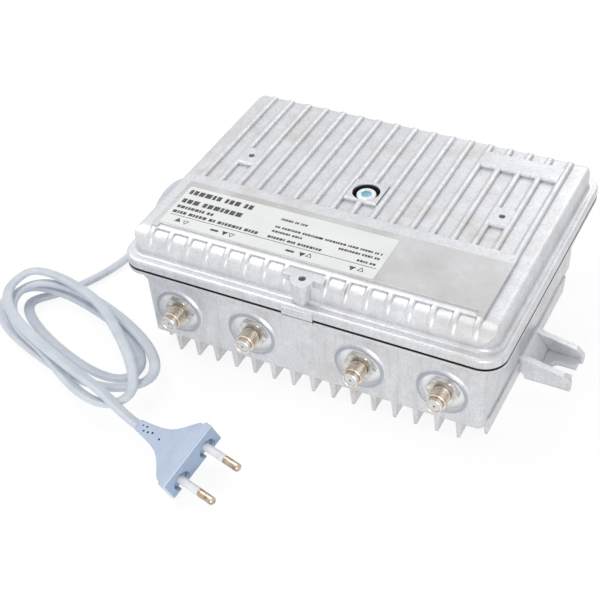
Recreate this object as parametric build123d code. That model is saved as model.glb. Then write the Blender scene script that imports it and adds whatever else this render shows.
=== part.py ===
from build123d import *
import math
import os

os.makedirs("parts", exist_ok=True)

# Driving sizes of the case, in mm
case_width = 197.4
case_depth = 150.0
case_corner_r = 11.3
fin_drop = 10.0
base_height = 42.1
gasket_gap = 1.2
lid_flange_height = 4.9
lid_rise = 11.3
rib_height = 2.0
rib_pitch = 10.5
rib_count = 17
rib_width = 3.5

# How far the rims stand out past the base walls, and the ports past the rims
front_overhang = 5.0
back_overhang = 15.0
port_overhang = 6.1

# Fits and margins used throughout
overrun = 2.0
fit_gap = 0.1
seat_gap = 0.05
running_gap = 0.3

# Levels up from the surface that the fins stand on
base_z = fin_drop
rim_z = base_z + base_height
lid_z = rim_z + gasket_gap
flange_z = lid_z + lid_flange_height
cover_z = flange_z + lid_rise
rib_z = cover_z + rib_height

# Lines from front to back
back_y = (case_depth + port_overhang) / 2
front_y = back_y - case_depth
wall_y = front_y + front_overhang
back_wall_y = back_y - back_overhang
middle_y = (front_y + back_y) / 2


def block(x0, x1, y0, y1, z0, z1):
    box = Box(x1 - x0, y1 - y0, z1 - z0, align=(Align.MIN, Align.MIN, Align.MIN))
    return Pos(x0, y0, z0) * box


def slab(width, depth, radius, centre_x, centre_y, z0, z1):
    outline = Plane.XY.offset(z0) * Pos(centre_x, centre_y) * RectangleRounded(width, depth, radius)
    return extrude(outline, z1 - z0, dir=(0, 0, 1))


def upright(radius, x, y, z0, z1):
    pin = Cylinder(radius, z1 - z0, align=(Align.CENTER, Align.CENTER, Align.MIN))
    return Pos(x, y, z0) * pin


def along_y(radius, x, z, y0, y1):
    outline = Plane(origin=(x, y0, z), x_dir=(1, 0, 0), z_dir=(0, 1, 0)) * Circle(radius)
    return extrude(outline, y1 - y0, dir=(0, 1, 0))


def along_x(radius, y, z, x0, x1):
    outline = Plane(origin=(x0, y, z), x_dir=(0, 1, 0), z_dir=(1, 0, 0)) * Circle(radius)
    return extrude(outline, x1 - x0, dir=(1, 0, 0))


def side_profile(edges, x0, x1):
    # edges lie in the plane across X at zero, and run from x0 to x1
    return Pos(x0, 0, 0) * extrude(make_face(edges), x1 - x0, dir=(1, 0, 0))


def front_polygon(points, y0, y1):
    corners = [(x, y0, z) for x, z in points]
    return extrude(make_face(Polyline(*corners, close=True)), y1 - y0, dir=(0, 1, 0))


def group(shapes):
    return Compound(children=list(shapes))


def save(shape, name):
    export_step(shape, f"parts/{name}.step")


# Lid: a shallow cast shell with a rounded front shoulder, ribs and a flat band for the label
lid_wall = 3.0
lid_setback = 0.7
lid_half_width = 94.5
lid_back_setback = 5.0
lid_corner_r = 8.0
lid_edge_r = 3.2
lid_foot_r = 1.6
flange_edge_r = 1.4
shoulder_foot = 1.8
shoulder_r = lid_rise - shoulder_foot
back_shoulder_r = 7.0
band_front = 11.6
band_back = 54.0
band_half_width = 84.0
strip_front = 8.5
strip_step = 0.5
rib_top_r = 1.6
bar_edge_r = 1.2
pad_edge = 0.9
rib_root = 0.6
rib_overhang = 1.5
lid_front_y = wall_y + lid_setback
lid_back_y = back_y - lid_back_setback
rib_back_y = lid_back_y - back_shoulder_r + rib_overhang
rib_places = [(i - (rib_count - 1) / 2) * rib_pitch for i in range(rib_count)]

# Middle pad with the screw pocket, and the two drilled pads beside it
screw_shift = 2.4
screw_x = 0.0
screw_y = middle_y + screw_shift
screw_pocket_r = 7.0
screw_pocket_depth = 6.0
screw_pad_half_width = 8.75
screw_pad_front = 8.1
screw_pad_back = 9.35
screw_boss_r = 9.5
screw_r = 3.0
drilled_pad_width = 9.25
drilled_pad_front = 1.0
drilled_pad_back = 13.6
drilled_pad_centre = 68.2
drilled_hole_back = 6.4
drilled_hole_r = 1.6
drilled_hole_depth = 4.0

# Raised plate at the back right, bare
plate_left = 41.6
plate_right = 83.1
plate_depth = 13.0
plate_back_gap = 17.0

# Boss on the front shoulder for a seal, and the tongue under it that laps the seam
boss_half_width = 10.5
boss_drop = 1.6
boss_front = 2.9
nose_r = 5.75
nose_back = 2.5
nose_hole_r = 1.8
nose_hole_depth = 9.0
nose_flare = 3.2
nose_foot_share = 0.7
nose_foot_forward = 3.3
tongue_half_width = 8.0
tongue_proud = 0.6
tongue_depth = 3.1
tongue_drop = 2.7
tongue_edge_r = 0.4


def shoulder_outline(radius, top, back, z_low):
    # wall, quarter round and flat top, seen from the side
    start = (0, lid_front_y, top - radius)
    middle_share = math.cos(math.radians(45))
    middle = (0, lid_front_y + radius * (1 - middle_share), top - radius * (1 - middle_share))
    end = (0, lid_front_y + radius, top)
    arc = ThreePointArc(start, middle, end)
    rest = Polyline(end, (0, back, top), (0, back, z_low), (0, lid_front_y, z_low), start)
    return Curve() + [arc, rest]


def make_lid():
    flange = slab(case_width, case_depth, case_corner_r, 0, middle_y, lid_z, flange_z)
    flange = fillet(flange.edges().group_by(Axis.Z)[-1], flange_edge_r)

    depth = lid_back_y - lid_front_y
    centre_y = (lid_back_y + lid_front_y) / 2
    cover = slab(2 * lid_half_width, depth, lid_corner_r, 0, centre_y, lid_z, cover_z)
    cover = fillet(cover.edges().group_by(Axis.Z)[-1], lid_edge_r)
    front_shape = shoulder_outline(shoulder_r, cover_z, lid_back_y, lid_z)
    cover = cover & side_profile(front_shape, -lid_half_width, lid_half_width)
    back_start = (0, lid_back_y - back_shoulder_r, cover_z)
    back_bend = ThreePointArc(
        back_start,
        (0, lid_back_y - back_shoulder_r * (1 - math.sin(math.radians(45))),
         cover_z - back_shoulder_r * (1 - math.cos(math.radians(45)))),
        (0, lid_back_y, cover_z - back_shoulder_r),
    )
    back_corner = Polyline(
        (0, lid_back_y, cover_z - back_shoulder_r),
        (0, lid_back_y + overrun, cover_z - back_shoulder_r),
        (0, lid_back_y + overrun, cover_z + overrun),
        (0, lid_back_y - back_shoulder_r, cover_z + overrun),
        back_start,
    )
    cover = cover - side_profile(Curve() + [back_bend, back_corner], -lid_half_width, lid_half_width)
    lid = flange + cover

    def at_foot(edge):
        place = edge.center()
        inside = abs(place.X) < lid_half_width + fit_gap and abs(place.Y - centre_y) < depth / 2 + fit_gap
        return inside and abs(place.Z - flange_z) < fit_gap

    lid = fillet(lid.edges().filter_by(at_foot), lid_foot_r)

    # Front strip and the short bars that run on from the ribs over the shoulder
    bar_r = rib_z - strip_step - (cover_z - shoulder_r)
    bar_outline = shoulder_outline(
        bar_r, rib_z - strip_step, wall_y + band_front + overrun, cover_z - shoulder_r - rib_root)
    half_bar = rib_width / 2
    bars = []
    for x in rib_places:
        if abs(x) > half_bar:
            bar = side_profile(bar_outline, x - half_bar, x + half_bar)
            bars.append(fillet(bar.edges().filter_by(GeomType.CIRCLE), bar_edge_r))
    strip = side_profile(bar_outline, -band_half_width - half_bar, band_half_width + half_bar)
    strip_y = wall_y + strip_front
    strip = strip & block(-case_width, case_width, strip_y, back_y, base_z, rib_z)
    lid = lid + strip
    for bar in bars:
        lid = lid + bar

    # Band, ribs, pads and plate all reach the same level
    root_z = cover_z - rib_root
    band_y = wall_y + band_front
    lid = lid + block(-band_half_width, band_half_width, band_y, wall_y + band_back, root_z, rib_z)
    for x in rib_places:
        rib_y = wall_y + band_back - rib_top_r
        rib = block(x - half_bar, x + half_bar, rib_y, rib_back_y, root_z, rib_z)
        tops = rib.edges().filter_by(Axis.Y).group_by(Axis.Z)[-1]
        back_tops = rib.edges().filter_by(Axis.X).sort_by(Axis.Y).group_by(Axis.Z)[-1][-1:]
        rib = fillet(tops + back_tops, rib_top_r)
        lid = lid + rib
    edge_bar = block(
        band_half_width - half_bar, band_half_width + half_bar,
        strip_y + strip_step, wall_y + band_back, root_z, rib_z)
    lid = lid + edge_bar + mirror(edge_bar, Plane.YZ)
    pads = [(
        -screw_pad_half_width, screw_pad_half_width,
        screw_y - screw_pad_front, screw_y + screw_pad_back)]
    for side in (-1, 1):
        x = side * drilled_pad_centre
        pads.append((
            x - drilled_pad_width / 2, x + drilled_pad_width / 2,
            screw_y - drilled_pad_front, screw_y + drilled_pad_back))
    plate_y = back_y - plate_back_gap
    pads.append((plate_left, plate_right, plate_y - plate_depth, plate_y))
    for pad_left, pad_right, pad_front, pad_back in pads:
        pad = block(pad_left, pad_right, pad_front, pad_back, root_z, rib_z)
        ends = pad.edges().filter_by(Axis.X).group_by(Axis.Z)[-1]
        lid = lid + chamfer(ends, pad_edge)

    # Seal boss with its nose, which narrows towards the flange
    boss_z = rib_z - boss_drop
    boss_y = wall_y + boss_front
    lid = lid + block(-boss_half_width, boss_half_width, boss_y, band_y, flange_z, boss_z)
    nose_y = wall_y + nose_back

    def nose_outline(share, z, shift_y):
        flare_x = nose_r + nose_flare
        back = nose_y + nose_flare
        cos45 = math.cos(math.radians(45))

        def place(x, y):
            return (share * x, nose_y + shift_y + share * (y - nose_y), z)

        bend = nose_flare * cos45
        right = ThreePointArc(
            place(flare_x, nose_y + nose_flare),
            place(flare_x - bend, nose_y + nose_flare - bend * cos45),
            place(nose_r, nose_y))
        front = ThreePointArc(place(nose_r, nose_y), place(0, nose_y - nose_r), place(-nose_r, nose_y))
        left = ThreePointArc(
            place(-nose_r, nose_y),
            place(bend - flare_x, nose_y + nose_flare - bend * cos45),
            place(-flare_x, nose_y + nose_flare))
        rear = Polyline(
            place(-flare_x, back), place(-flare_x, back + nose_r),
            place(flare_x, back + nose_r), place(flare_x, back))
        return make_face(Curve() + [right, front, left, rear])

    foot_shift = -(nose_foot_forward + nose_back - nose_r * nose_foot_share)
    nose = loft([nose_outline(1, boss_z, 0), nose_outline(nose_foot_share, flange_z - rib_root, foot_shift)],
                ruled=True)
    lid = lid + nose
    tongue = block(
        -tongue_half_width, tongue_half_width,
        front_y - tongue_proud, front_y + tongue_depth,
        rim_z - tongue_drop + gasket_gap, flange_z - flange_edge_r)
    tongue = fillet(tongue.edges().filter_by(Axis.X).group_by(Axis.Y)[0], tongue_edge_r)
    lid = lid + tongue

    # Hollow under the cover, with the screw boss left standing
    hollow_x = lid_half_width - lid_wall
    hollow_r = shoulder_r - lid_wall
    hollow = slab(
        2 * hollow_x, depth - 2 * lid_wall, lid_corner_r - lid_wall,
        0, centre_y, lid_z - overrun, cover_z - lid_wall)
    hollow = hollow & side_profile(
        shoulder_hollow(hollow_r), -lid_half_width, lid_half_width)
    hollow = hollow - upright(screw_boss_r, screw_x, screw_y, lid_z, rib_z)
    lid = lid - hollow
    lid = lid - upright(screw_pocket_r, screw_x, screw_y, rib_z - screw_pocket_depth, rib_z + overrun)
    lid = lid - upright(screw_r + running_gap, screw_x, screw_y, lid_z - overrun, rib_z + overrun)
    lid = lid - upright(nose_hole_r, 0, nose_y, boss_z - nose_hole_depth, boss_z + overrun)
    for side in (-1, 1):
        lid = lid - upright(
            drilled_hole_r, side * drilled_pad_centre, screw_y + drilled_hole_back,
            rib_z - drilled_hole_depth, rib_z + overrun)
    return lid


def shoulder_hollow(radius):
    front = lid_front_y + lid_wall
    top = cover_z - lid_wall
    back = lid_back_y - lid_wall
    cos45 = math.cos(math.radians(45))
    arc = ThreePointArc(
        (0, front, top - radius),
        (0, front + radius * (1 - cos45), top - radius * (1 - cos45)),
        (0, front + radius, top))
    low = lid_z - overrun
    rest = Polyline(
        (0, front + radius, top), (0, back, top), (0, back, low), (0, front, low), (0, front, top - radius))
    return Curve() + [arc, rest]


# Gasket in the seam, and the rim of the base under it
gasket_width = 6.0
gasket_inset = 1.6
rim_edge = 1.9
rim_step = 1.2
rim_step_drop = 7.4
tongue_gap = 0.4


def make_gasket():
    outer = slab(
        case_width - 2 * gasket_inset, case_depth - 2 * gasket_inset, case_corner_r - gasket_inset,
        0, middle_y, rim_z, lid_z)
    inset = gasket_inset + gasket_width
    inner = slab(
        case_width - 2 * inset, case_depth - 2 * inset, case_corner_r - inset,
        0, middle_y, rim_z - overrun, lid_z + overrun)
    notch = block(
        -tongue_half_width - tongue_gap, tongue_half_width + tongue_gap,
        front_y - overrun, front_y + tongue_depth + tongue_gap, rim_z - overrun, lid_z + overrun)
    return outer - inner - notch


# Base: a cast box with a rim, fins below, port rings in front and a lug on each side
base_half_width = 89.9
base_shift = 1.2
base_draft = 0.95
base_wall = 3.0
base_front_wall = 3.5
base_floor = 3.5
base_corner_r = 3.0
cavity_corner_r = 4.0
fin_pitch = 10.89
fin_shift = 2.5
fin_count = 17
fin_root = 3.0
fin_tip = 1.4
outer_fin_front = 7.4
fin_back_gap = 11.0

port_places = [-70.6, -28.8, 28.8, 70.6]
port_z = 27.5
ring_outer_r = 13.5
ring_land_r = 12.2
ring_bore_r = 11.0
ring_proud = 1.2
ring_floor = 1.3
port_r = 4.76
port_neck_r = 4.5

gland_back_gap = 30.0
gland_y = back_wall_y - gland_back_gap
gland_z = 27.5
gland_boss_r = 12.5
gland_boss_proud = 1.85
gland_thread_r = 8.0

lug_reach = 116.4
lug_shift = 8.8
lug_half_length = 11.8
lug_plate = 3.0
lug_plate_short = 1.6
lug_rib = 3.0
lug_rib_height = 13.8
lug_rib_end_height = 8.4
lug_rib_end_back = 3.6
lug_gusset_top = 13.5
lug_gusset_top_out = 1.9
lug_gusset_foot_out = 8.4
lug_gusset_foot = 4.0
lug_slot_width = 6.8
lug_slot_inner = 103.4
lug_notch_height = 3.6

post_r = 6.0
post_gap = 0.6
screw_thread_reach = 14.0

board_floor_gap = 8.5
board_thickness = 1.6
board_z = base_z + base_floor + board_floor_gap
standoff_r = 3.2
board_screw_r = 1.5
left_wall_x = base_shift - base_half_width
right_wall_x = base_shift + base_half_width
inner_left = left_wall_x + base_draft + base_wall
inner_right = right_wall_x - base_draft - base_wall
inner_front = wall_y + base_front_wall
inner_back = back_wall_y - base_wall

# Boards: one across the front, one for power behind it on the left, one behind on the right
board_edge_gap = 3.0
front_board_share = 0.476
board_split = 4.0
centre_gap = 10.0
standoff_inset = 4.5
power_board_inset = 12.0
board_depths = inner_back - inner_front - 2 * board_edge_gap - board_split
front_board_depth = board_depths * front_board_share
front_board = [
    inner_left + board_edge_gap, inner_right - board_edge_gap,
    inner_front + board_edge_gap, inner_front + board_edge_gap + front_board_depth]
rear_board_front = front_board[3] + board_split
power_board = [
    inner_left + power_board_inset, screw_x - centre_gap, rear_board_front, inner_back - board_edge_gap]
return_board = [screw_x + centre_gap, front_board[1], rear_board_front, inner_back - board_edge_gap]


def standoff_places(board):
    left, right, front, back = board
    return [
        (x, y)
        for x in (left + standoff_inset, right - standoff_inset)
        for y in (front + standoff_inset, back - standoff_inset)]


all_standoffs = standoff_places(front_board) + standoff_places(power_board) + standoff_places(return_board)


def fin(x, front, back):
    points = [
        (x - fin_root / 2, base_z + rib_root), (x + fin_root / 2, base_z + rib_root),
        (x + fin_root / 2, base_z), (x + fin_tip / 2, 0),
        (x - fin_tip / 2, 0), (x - fin_root / 2, base_z)]
    return front_polygon(points, front, back)


def make_lug(side, wall_x):
    def out(reach):
        return side * reach

    y0 = middle_y - lug_shift - lug_half_length
    y1 = middle_y - lug_shift + lug_half_length
    plate_end = lug_reach - lug_plate_short
    root = wall_x - base_wall / 2
    lug = block(min(out(root), out(plate_end)), max(out(root), out(plate_end)), y0, y1, 0, lug_plate)
    lug_rib_outline = [
        (out(root), 0), (out(lug_reach), 0), (out(lug_reach), lug_rib_end_height - lug_rib_end_back),
        (out(lug_reach - lug_rib_end_back), lug_rib_end_height), (out(root), lug_rib_height)]
    for front in (y0, y1 - lug_rib):
        lug = lug + front_polygon(lug_rib_outline, front, front + lug_rib)
    gusset = [
        (out(root), 0), (out(wall_x + lug_gusset_foot_out), 0),
        (out(wall_x + lug_gusset_foot_out), lug_gusset_foot),
        (out(wall_x + lug_gusset_top_out), lug_gusset_top), (out(root), lug_gusset_top)]
    lug = lug + front_polygon(gusset, y0, y1)
    slot_y = (y0 + y1) / 2
    half_slot = lug_slot_width / 2
    slot_in = lug_slot_inner + half_slot
    lug = lug - upright(half_slot, out(slot_in), slot_y, -overrun, lug_rib_height)
    lug = lug - block(
        min(out(slot_in), out(lug_reach + overrun)), max(out(slot_in), out(lug_reach + overrun)),
        slot_y - half_slot, slot_y + half_slot, -overrun, lug_rib_height)
    notch = along_y(lug_notch_height, out(wall_x), 0, y0, y1)
    return lug - notch


def make_base():
    wall_outline = [
        (left_wall_x + base_draft, base_z), (right_wall_x - base_draft, base_z),
        (right_wall_x, rim_z - rim_edge), (left_wall_x, rim_z - rim_edge)]
    body = front_polygon(wall_outline, wall_y, back_wall_y)
    uprights = body.edges().filter_by(lambda e: abs(e.tangent_at(0).Z) > abs(e.tangent_at(0).X)
                                      and abs(e.tangent_at(0).Y) < abs(e.tangent_at(0).Z))
    body = fillet(uprights, base_corner_r)
    rim = slab(case_width, case_depth, case_corner_r, 0, middle_y, rim_z - rim_edge, rim_z)
    step = slab(
        2 * (base_half_width + rim_step), back_wall_y - wall_y + 2 * rim_step, base_corner_r + rim_step,
        base_shift, (back_wall_y + wall_y) / 2, rim_z - rim_step_drop, rim_z - rim_edge)
    base = body + rim + step
    base = base - block(
        -tongue_half_width - tongue_gap, tongue_half_width + tongue_gap,
        front_y - overrun, front_y + tongue_depth + tongue_gap, rim_z - rim_edge - overrun, rim_z + overrun)

    for k in range(fin_count):
        x = fin_shift + (k - (fin_count - 1) / 2) * fin_pitch
        outermost = k in (0, fin_count - 1)
        front = wall_y + outer_fin_front if outermost else wall_y
        base = base + fin(x, front, back_wall_y - fin_back_gap)

    for x in port_places:
        cone = Plane(origin=(x, wall_y + rib_root, port_z), x_dir=(1, 0, 0), z_dir=(0, -1, 0))
        low = cone * Circle(ring_outer_r + rib_root)
        high = cone.offset(rib_root + ring_proud) * Circle(ring_land_r)
        base = base + loft([low, high], ruled=True)
    boss_x = left_wall_x - gland_boss_proud
    base = base + along_x(gland_boss_r, gland_y, gland_z, boss_x, left_wall_x + base_draft + base_wall / 2)

    hollow = slab(
        inner_right - inner_left, inner_back - inner_front, cavity_corner_r,
        (inner_left + inner_right) / 2, (inner_front + inner_back) / 2, base_z + base_floor, rim_z + overrun)
    base = base - hollow

    for side, wall_x in ((-1, -left_wall_x - base_draft), (1, right_wall_x - base_draft)):
        base = base + make_lug(side, wall_x)
    for x, y in all_standoffs:
        base = base + upright(standoff_r, x, y, base_z + base_floor / 2, board_z)
        base = base - upright(board_screw_r, x, y, base_z + base_floor, board_z + overrun)
    post_z = rim_z - post_gap
    base = base + upright(post_r, screw_x, screw_y, base_z + base_floor / 2, post_z)
    base = base - upright(
        screw_r + fit_gap, screw_x, screw_y, post_z - screw_thread_reach - overrun, post_z + overrun)

    for x in port_places:
        base = base - along_y(ring_bore_r, x, port_z, wall_y - ring_proud - overrun, wall_y + ring_floor)
        base = base - along_y(port_neck_r + fit_gap, x, port_z, wall_y, inner_front + overrun)
    base = base - along_x(gland_thread_r + fit_gap, gland_y, gland_z, boss_x - overrun, inner_left + overrun)
    return base


# Lid screw with a hex socket, and the seal under its head
screw_head_r = 5.2
screw_head_height = 3.6
screw_head_edge = 0.5
screw_socket_flats = 5.0
screw_socket_depth = 2.6
screw_seal_r = 6.2
screw_seal_height = 1.0
pocket_floor_z = rib_z - screw_pocket_depth


def make_screw():
    head_z = pocket_floor_z + screw_seal_height + seat_gap
    head = upright(screw_head_r, screw_x, screw_y, head_z, head_z + screw_head_height)
    head = chamfer(head.edges().group_by(Axis.Z)[-1], screw_head_edge)
    socket_z = head_z + screw_head_height - screw_socket_depth
    outline = Plane.XY.offset(socket_z) * Pos(screw_x, screw_y) * RegularPolygon(
        screw_socket_flats / 2, 6, major_radius=False)
    head = head - extrude(outline, screw_socket_depth + overrun, dir=(0, 0, 1))
    return head + upright(screw_r, screw_x, screw_y, rim_z - post_gap - screw_thread_reach, head_z)


def make_screw_seal():
    seal = upright(screw_seal_r, screw_x, screw_y, pocket_floor_z, pocket_floor_z + screw_seal_height)
    return seal - upright(
        screw_r + running_gap, screw_x, screw_y, pocket_floor_z - overrun, pocket_floor_z + 2 * overrun)


# Type label in its place on the flat band
label_left = -83.4
label_right = 31.0
label_front = 12.6
label_back = 43.25
label_thickness = 0.2
label_corner_r = 0.6


def make_label():
    return slab(
        label_right - label_left, label_back - label_front, label_corner_r,
        (label_left + label_right) / 2, wall_y + (label_front + label_back) / 2,
        rib_z, rib_z + label_thickness)


# Coaxial port: threaded barrel, nut, white insulator and a centre contact that bends to the board
port_reach = front_overhang + port_overhang
port_lip = 2.2
port_lip_r = 4.0
port_groove = 0.8
port_groove_depth = 0.4
port_shoulder_r = 6.6
port_shoulder = 2.0
port_tail_r = 3.6
port_tail = 5.0
port_bore_r = 3.0
port_edge = 0.5
port_lip_edge = 0.35
nut_flats = 14.0
nut_height = 2.5
nut_edge = 0.5
insulator_sunk = 0.5
insulator_r = port_bore_r - fit_gap / 2
contact_r = 0.55
contact_sunk = 0.9
contact_drop_out = 2.2


def make_port(x):
    tip = wall_y - port_reach
    floor = wall_y + ring_floor
    nut_y = floor - nut_height
    groove_y = tip + port_lip
    barrel = along_y(port_r, x, port_z, groove_y + port_groove, nut_y)
    neck = along_y(port_neck_r, x, port_z, nut_y, inner_front + port_shoulder)
    barrel = chamfer(barrel.edges().group_by(Axis.Y)[0], port_edge)
    shoulder = along_y(port_shoulder_r, x, port_z, inner_front, inner_front + port_shoulder)
    tail = along_y(port_tail_r, x, port_z, inner_front, inner_front + port_shoulder + port_tail)
    lip = along_y(port_lip_r, x, port_z, tip, groove_y)
    lip = chamfer(lip.edges(), port_lip_edge)
    groove = along_y(port_lip_r - port_groove_depth, x, port_z, tip + port_edge, nut_y)
    bore = along_y(
        port_bore_r, x, port_z, tip - overrun, inner_front + port_shoulder + port_tail + overrun)
    nut_outline = Plane(origin=(x, nut_y, port_z), x_dir=(1, 0, 0), z_dir=(0, 1, 0))
    nut = extrude(
        nut_outline * RegularPolygon(nut_flats / 2, 6, major_radius=False), nut_height, dir=(0, 1, 0))
    corner_r = nut_flats / 2 / math.cos(math.radians(30))
    round_off = along_y(corner_r, x, port_z, nut_y, floor)
    round_off = chamfer(round_off.edges().group_by(Axis.Y)[0], nut_edge)
    nut = (nut & round_off) - along_y(port_neck_r + seat_gap, x, port_z, nut_y - overrun, floor + overrun)
    insulator = along_y(
        insulator_r, x, port_z, tip + insulator_sunk, inner_front + port_shoulder + port_tail)
    insulator = insulator - along_y(
        contact_r + seat_gap, x, port_z, tip - overrun, inner_front + port_shoulder + port_tail + overrun)
    drop_y = inner_front + port_shoulder + port_tail + contact_drop_out
    contact = along_y(contact_r, x, port_z, tip + contact_sunk, drop_y)
    contact = contact + upright(contact_r, x, drop_y - contact_r, board_z + board_thickness, port_z)
    return barrel + lip + groove + neck + shoulder + tail - bore, nut, insulator, contact


# Cable gland on the left wall
gland_collar_flats = 20.0
gland_collar = 5.0
gland_nut_flats = 19.0
gland_nut_length = 11.0
gland_nose_length = 5.5
gland_nose_r = 6.0
gland_neck_r = 7.2
gland_locknut_flats = 21.0
gland_locknut = 3.0
gland_inlet_reach = 12.0
gland_seal_r = 5.4
cord_diameter = 4.2
gland_face_x = left_wall_x - gland_boss_proud
gland_end_x = gland_face_x - gland_collar - running_gap - gland_nut_length - gland_nose_length


def hex_along_x(flats, y, z, x0, x1):
    outline = Plane(origin=(x0, y, z), x_dir=(0, 1, 0), z_dir=(1, 0, 0))
    return extrude(outline * RegularPolygon(flats / 2, 6, major_radius=False), x1 - x0, dir=(1, 0, 0))


def make_gland():
    collar_x = gland_face_x - gland_collar
    bore_r = cord_diameter / 2 + fit_gap
    body = hex_along_x(gland_collar_flats, gland_y, gland_z, collar_x, gland_face_x)
    thread_end = inner_left + gland_locknut + rib_root
    body = body + along_x(gland_thread_r, gland_y, gland_z, gland_face_x, thread_end)
    neck_end = collar_x - running_gap - gland_nut_length / 2
    body = body + along_x(gland_neck_r, gland_y, gland_z, neck_end, collar_x)
    body = body - along_x(
        gland_seal_r, gland_y, gland_z, neck_end - overrun, inner_left + 2 * gland_locknut + base_wall)

    nut_x = collar_x - running_gap
    mid_x = nut_x - gland_nut_length
    nut = hex_along_x(gland_nut_flats, gland_y, gland_z, mid_x, nut_x)
    low = Plane(origin=(mid_x, gland_y, gland_z), x_dir=(0, 1, 0), z_dir=(-1, 0, 0))
    cone = loft([low * Circle(gland_nut_flats / 2), low.offset(gland_nose_length) * Circle(gland_nose_r)])
    nut = nut + cone
    nut = nut - along_x(gland_neck_r + fit_gap, gland_y, gland_z, neck_end, nut_x + overrun)
    nut = nut - along_x(gland_seal_r + fit_gap, gland_y, gland_z, mid_x, nut_x)
    nut = nut - along_x(bore_r, gland_y, gland_z, gland_end_x - overrun, nut_x)

    seal = along_x(gland_seal_r - seat_gap, gland_y, gland_z, mid_x + seat_gap, collar_x + gland_collar)
    seal = seal - along_x(cord_diameter / 2, gland_y, gland_z, gland_end_x, inner_left)
    lock_x = inner_left
    lock = hex_along_x(gland_locknut_flats, gland_y, gland_z, lock_x, lock_x + gland_locknut)
    lock = lock - along_x(
        gland_thread_r + seat_gap, gland_y, gland_z, lock_x - overrun, lock_x + 2 * gland_locknut)
    inlet = along_x(cord_diameter / 2, gland_y, gland_z, gland_end_x, inner_left + gland_inlet_reach)
    return body, nut, seal, lock, inlet


# Plug: a flat two-pin body that lies on one edge, turned about its own axis
plug_face = (-18.4, -141.3)
plug_turn = -14.4
plug_dip = 1.0
plug_roll = 21.8
plug_half_width = 17.65
plug_half_height = 6.85
plug_length = 38.0
plug_neck_half = 2.9
plug_waist_half = 6.4
plug_waist_back = 19.5
plug_shoulder_half = 16.2
plug_shoulder_back = 7.5
plug_step_back = 4.2
plug_edge_r = 1.2
plug_sweep_sag = 2.0
pin_gap = 18.6
pin_length = 19.0
pin_r = 2.0
pin_core_r = 1.5
pin_bare = 9.0
pin_sunk = 3.0
pin_notch_r = 4.8
pin_notch_depth = 2.6
pin_round_share = 0.7
plug_clear = 0.2
plug_rest_z = (
    plug_half_width * math.sin(math.radians(plug_roll))
    + plug_half_height * math.cos(math.radians(plug_roll)) + plug_clear)
plug_place = (
    Pos(plug_face[0], plug_face[1], plug_rest_z)
    * Rot(0, 0, plug_turn) * Rot(0, plug_dip, 0) * Rot(plug_roll, 0, 0))


def plug_outline():
    # plan from the neck to the face, one half and its mirror
    neck = (-plug_length, plug_neck_half)
    waist = (-plug_waist_back, plug_waist_half)
    shoulder = (-plug_shoulder_back, plug_shoulder_half)
    step = (-plug_step_back, plug_shoulder_half)
    rim = (-plug_step_back, plug_half_width)
    face = (0, plug_half_width)
    halves = []
    for side in (1, -1):
        points = [(x, side * y) for x, y in (neck, waist, shoulder, step, rim, face)]
        sweep_mid = ((waist[0] + shoulder[0]) / 2 + plug_sweep_sag, side * (
            (waist[1] + shoulder[1]) / 2 - plug_sweep_sag))
        halves.append(Line(points[0], points[1]))
        halves.append(ThreePointArc(points[1], sweep_mid, points[2]))
        halves.append(Polyline(*points[2:]))
    ends = [Line(neck, (neck[0], -neck[1])), Line(face, (face[0], -face[1]))]
    return make_face(Curve() + halves + ends)


def make_plug():
    body = extrude(plug_outline(), plug_half_height, both=True)
    side = [
        (-plug_length, -plug_neck_half), (-plug_waist_back, -plug_half_height + plug_edge_r),
        (-plug_shoulder_back, -plug_half_height), (0, -plug_half_height)]
    side_points = side + [(x, -z) for x, z in reversed(side)]
    profile = [(x, 0, z) for x, z in side_points]
    body = body & extrude(
        make_face(Polyline(*profile, close=True)), plug_half_width + overrun, both=True, dir=(0, 1, 0))
    pins = []
    sleeves = []
    for y in (-pin_gap / 2, pin_gap / 2):
        body = body - along_x(pin_notch_r, y, 0, -pin_notch_depth, overrun)
        body = body - along_x(pin_core_r + seat_gap, y, 0, -pin_notch_depth - pin_sunk, overrun)
        bare_x = pin_length - pin_bare
        pin = along_x(pin_core_r, y, 0, -pin_notch_depth - pin_sunk, pin_length - pin_bare / 2)
        tip = along_x(pin_r, y, 0, bare_x, pin_length)
        tip = fillet(tip.edges().group_by(Axis.X)[-1], pin_r * pin_round_share)
        pins.append(pin + tip)
        sleeve = along_x(pin_r, y, 0, -pin_notch_depth, bare_x)
        sleeves.append(sleeve - along_x(pin_core_r, y, 0, -plug_length, plug_length))
    place = plug_place
    return place * body, place * group(pins), place * group(sleeves)


# Cord: a free stretch from the gland, a hank of loops on the floor, and a free stretch to the plug
cord_floor = 0.1
layer_gap = 0.55
layer_rise = cord_diameter + layer_gap
hank_x = -122.0
hank_y = -84.0
hank_turn = -20.0
hank_half_length = 54.0
hank_half_width = 25.0
# Where each quarter turn of the hank lies, along and across it, as shares of its half sizes
hank_shares = [
    (-0.88, 0.02), (0.0, -0.52), (0.77, 0.02), (0.0, 0.67),
    (-1.0, -0.12), (-0.1, -1.02), (1.01, 0.0), (0.0, 0.77),
    (-0.91, -0.1), (0.0, -1.2), (1.05, -0.36), (-0.1, 0.64),
    (-0.98, -0.02), (0.02, -0.98)]
# How many layers up each quarter turn lies: most of each climb is where the turn crosses the one below
quarter_rise_shares = [0.0, 0.36, 0.7, 0.99]
crossing_rise_share = 0.08
# Hand-placed points of the free stretch that leaves the gland
lead_points = [
    (-125.5, 33.05, 27.5), (-135.0, 24.5, 22.5), (-136.0, 7.5, 11.5), (-136.5, -10.0, 3.8),
    (-141.5, -28.5, 2.2), (-149.5, -46.5, 2.2), (-158.5, -58.5, 2.2)]
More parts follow.
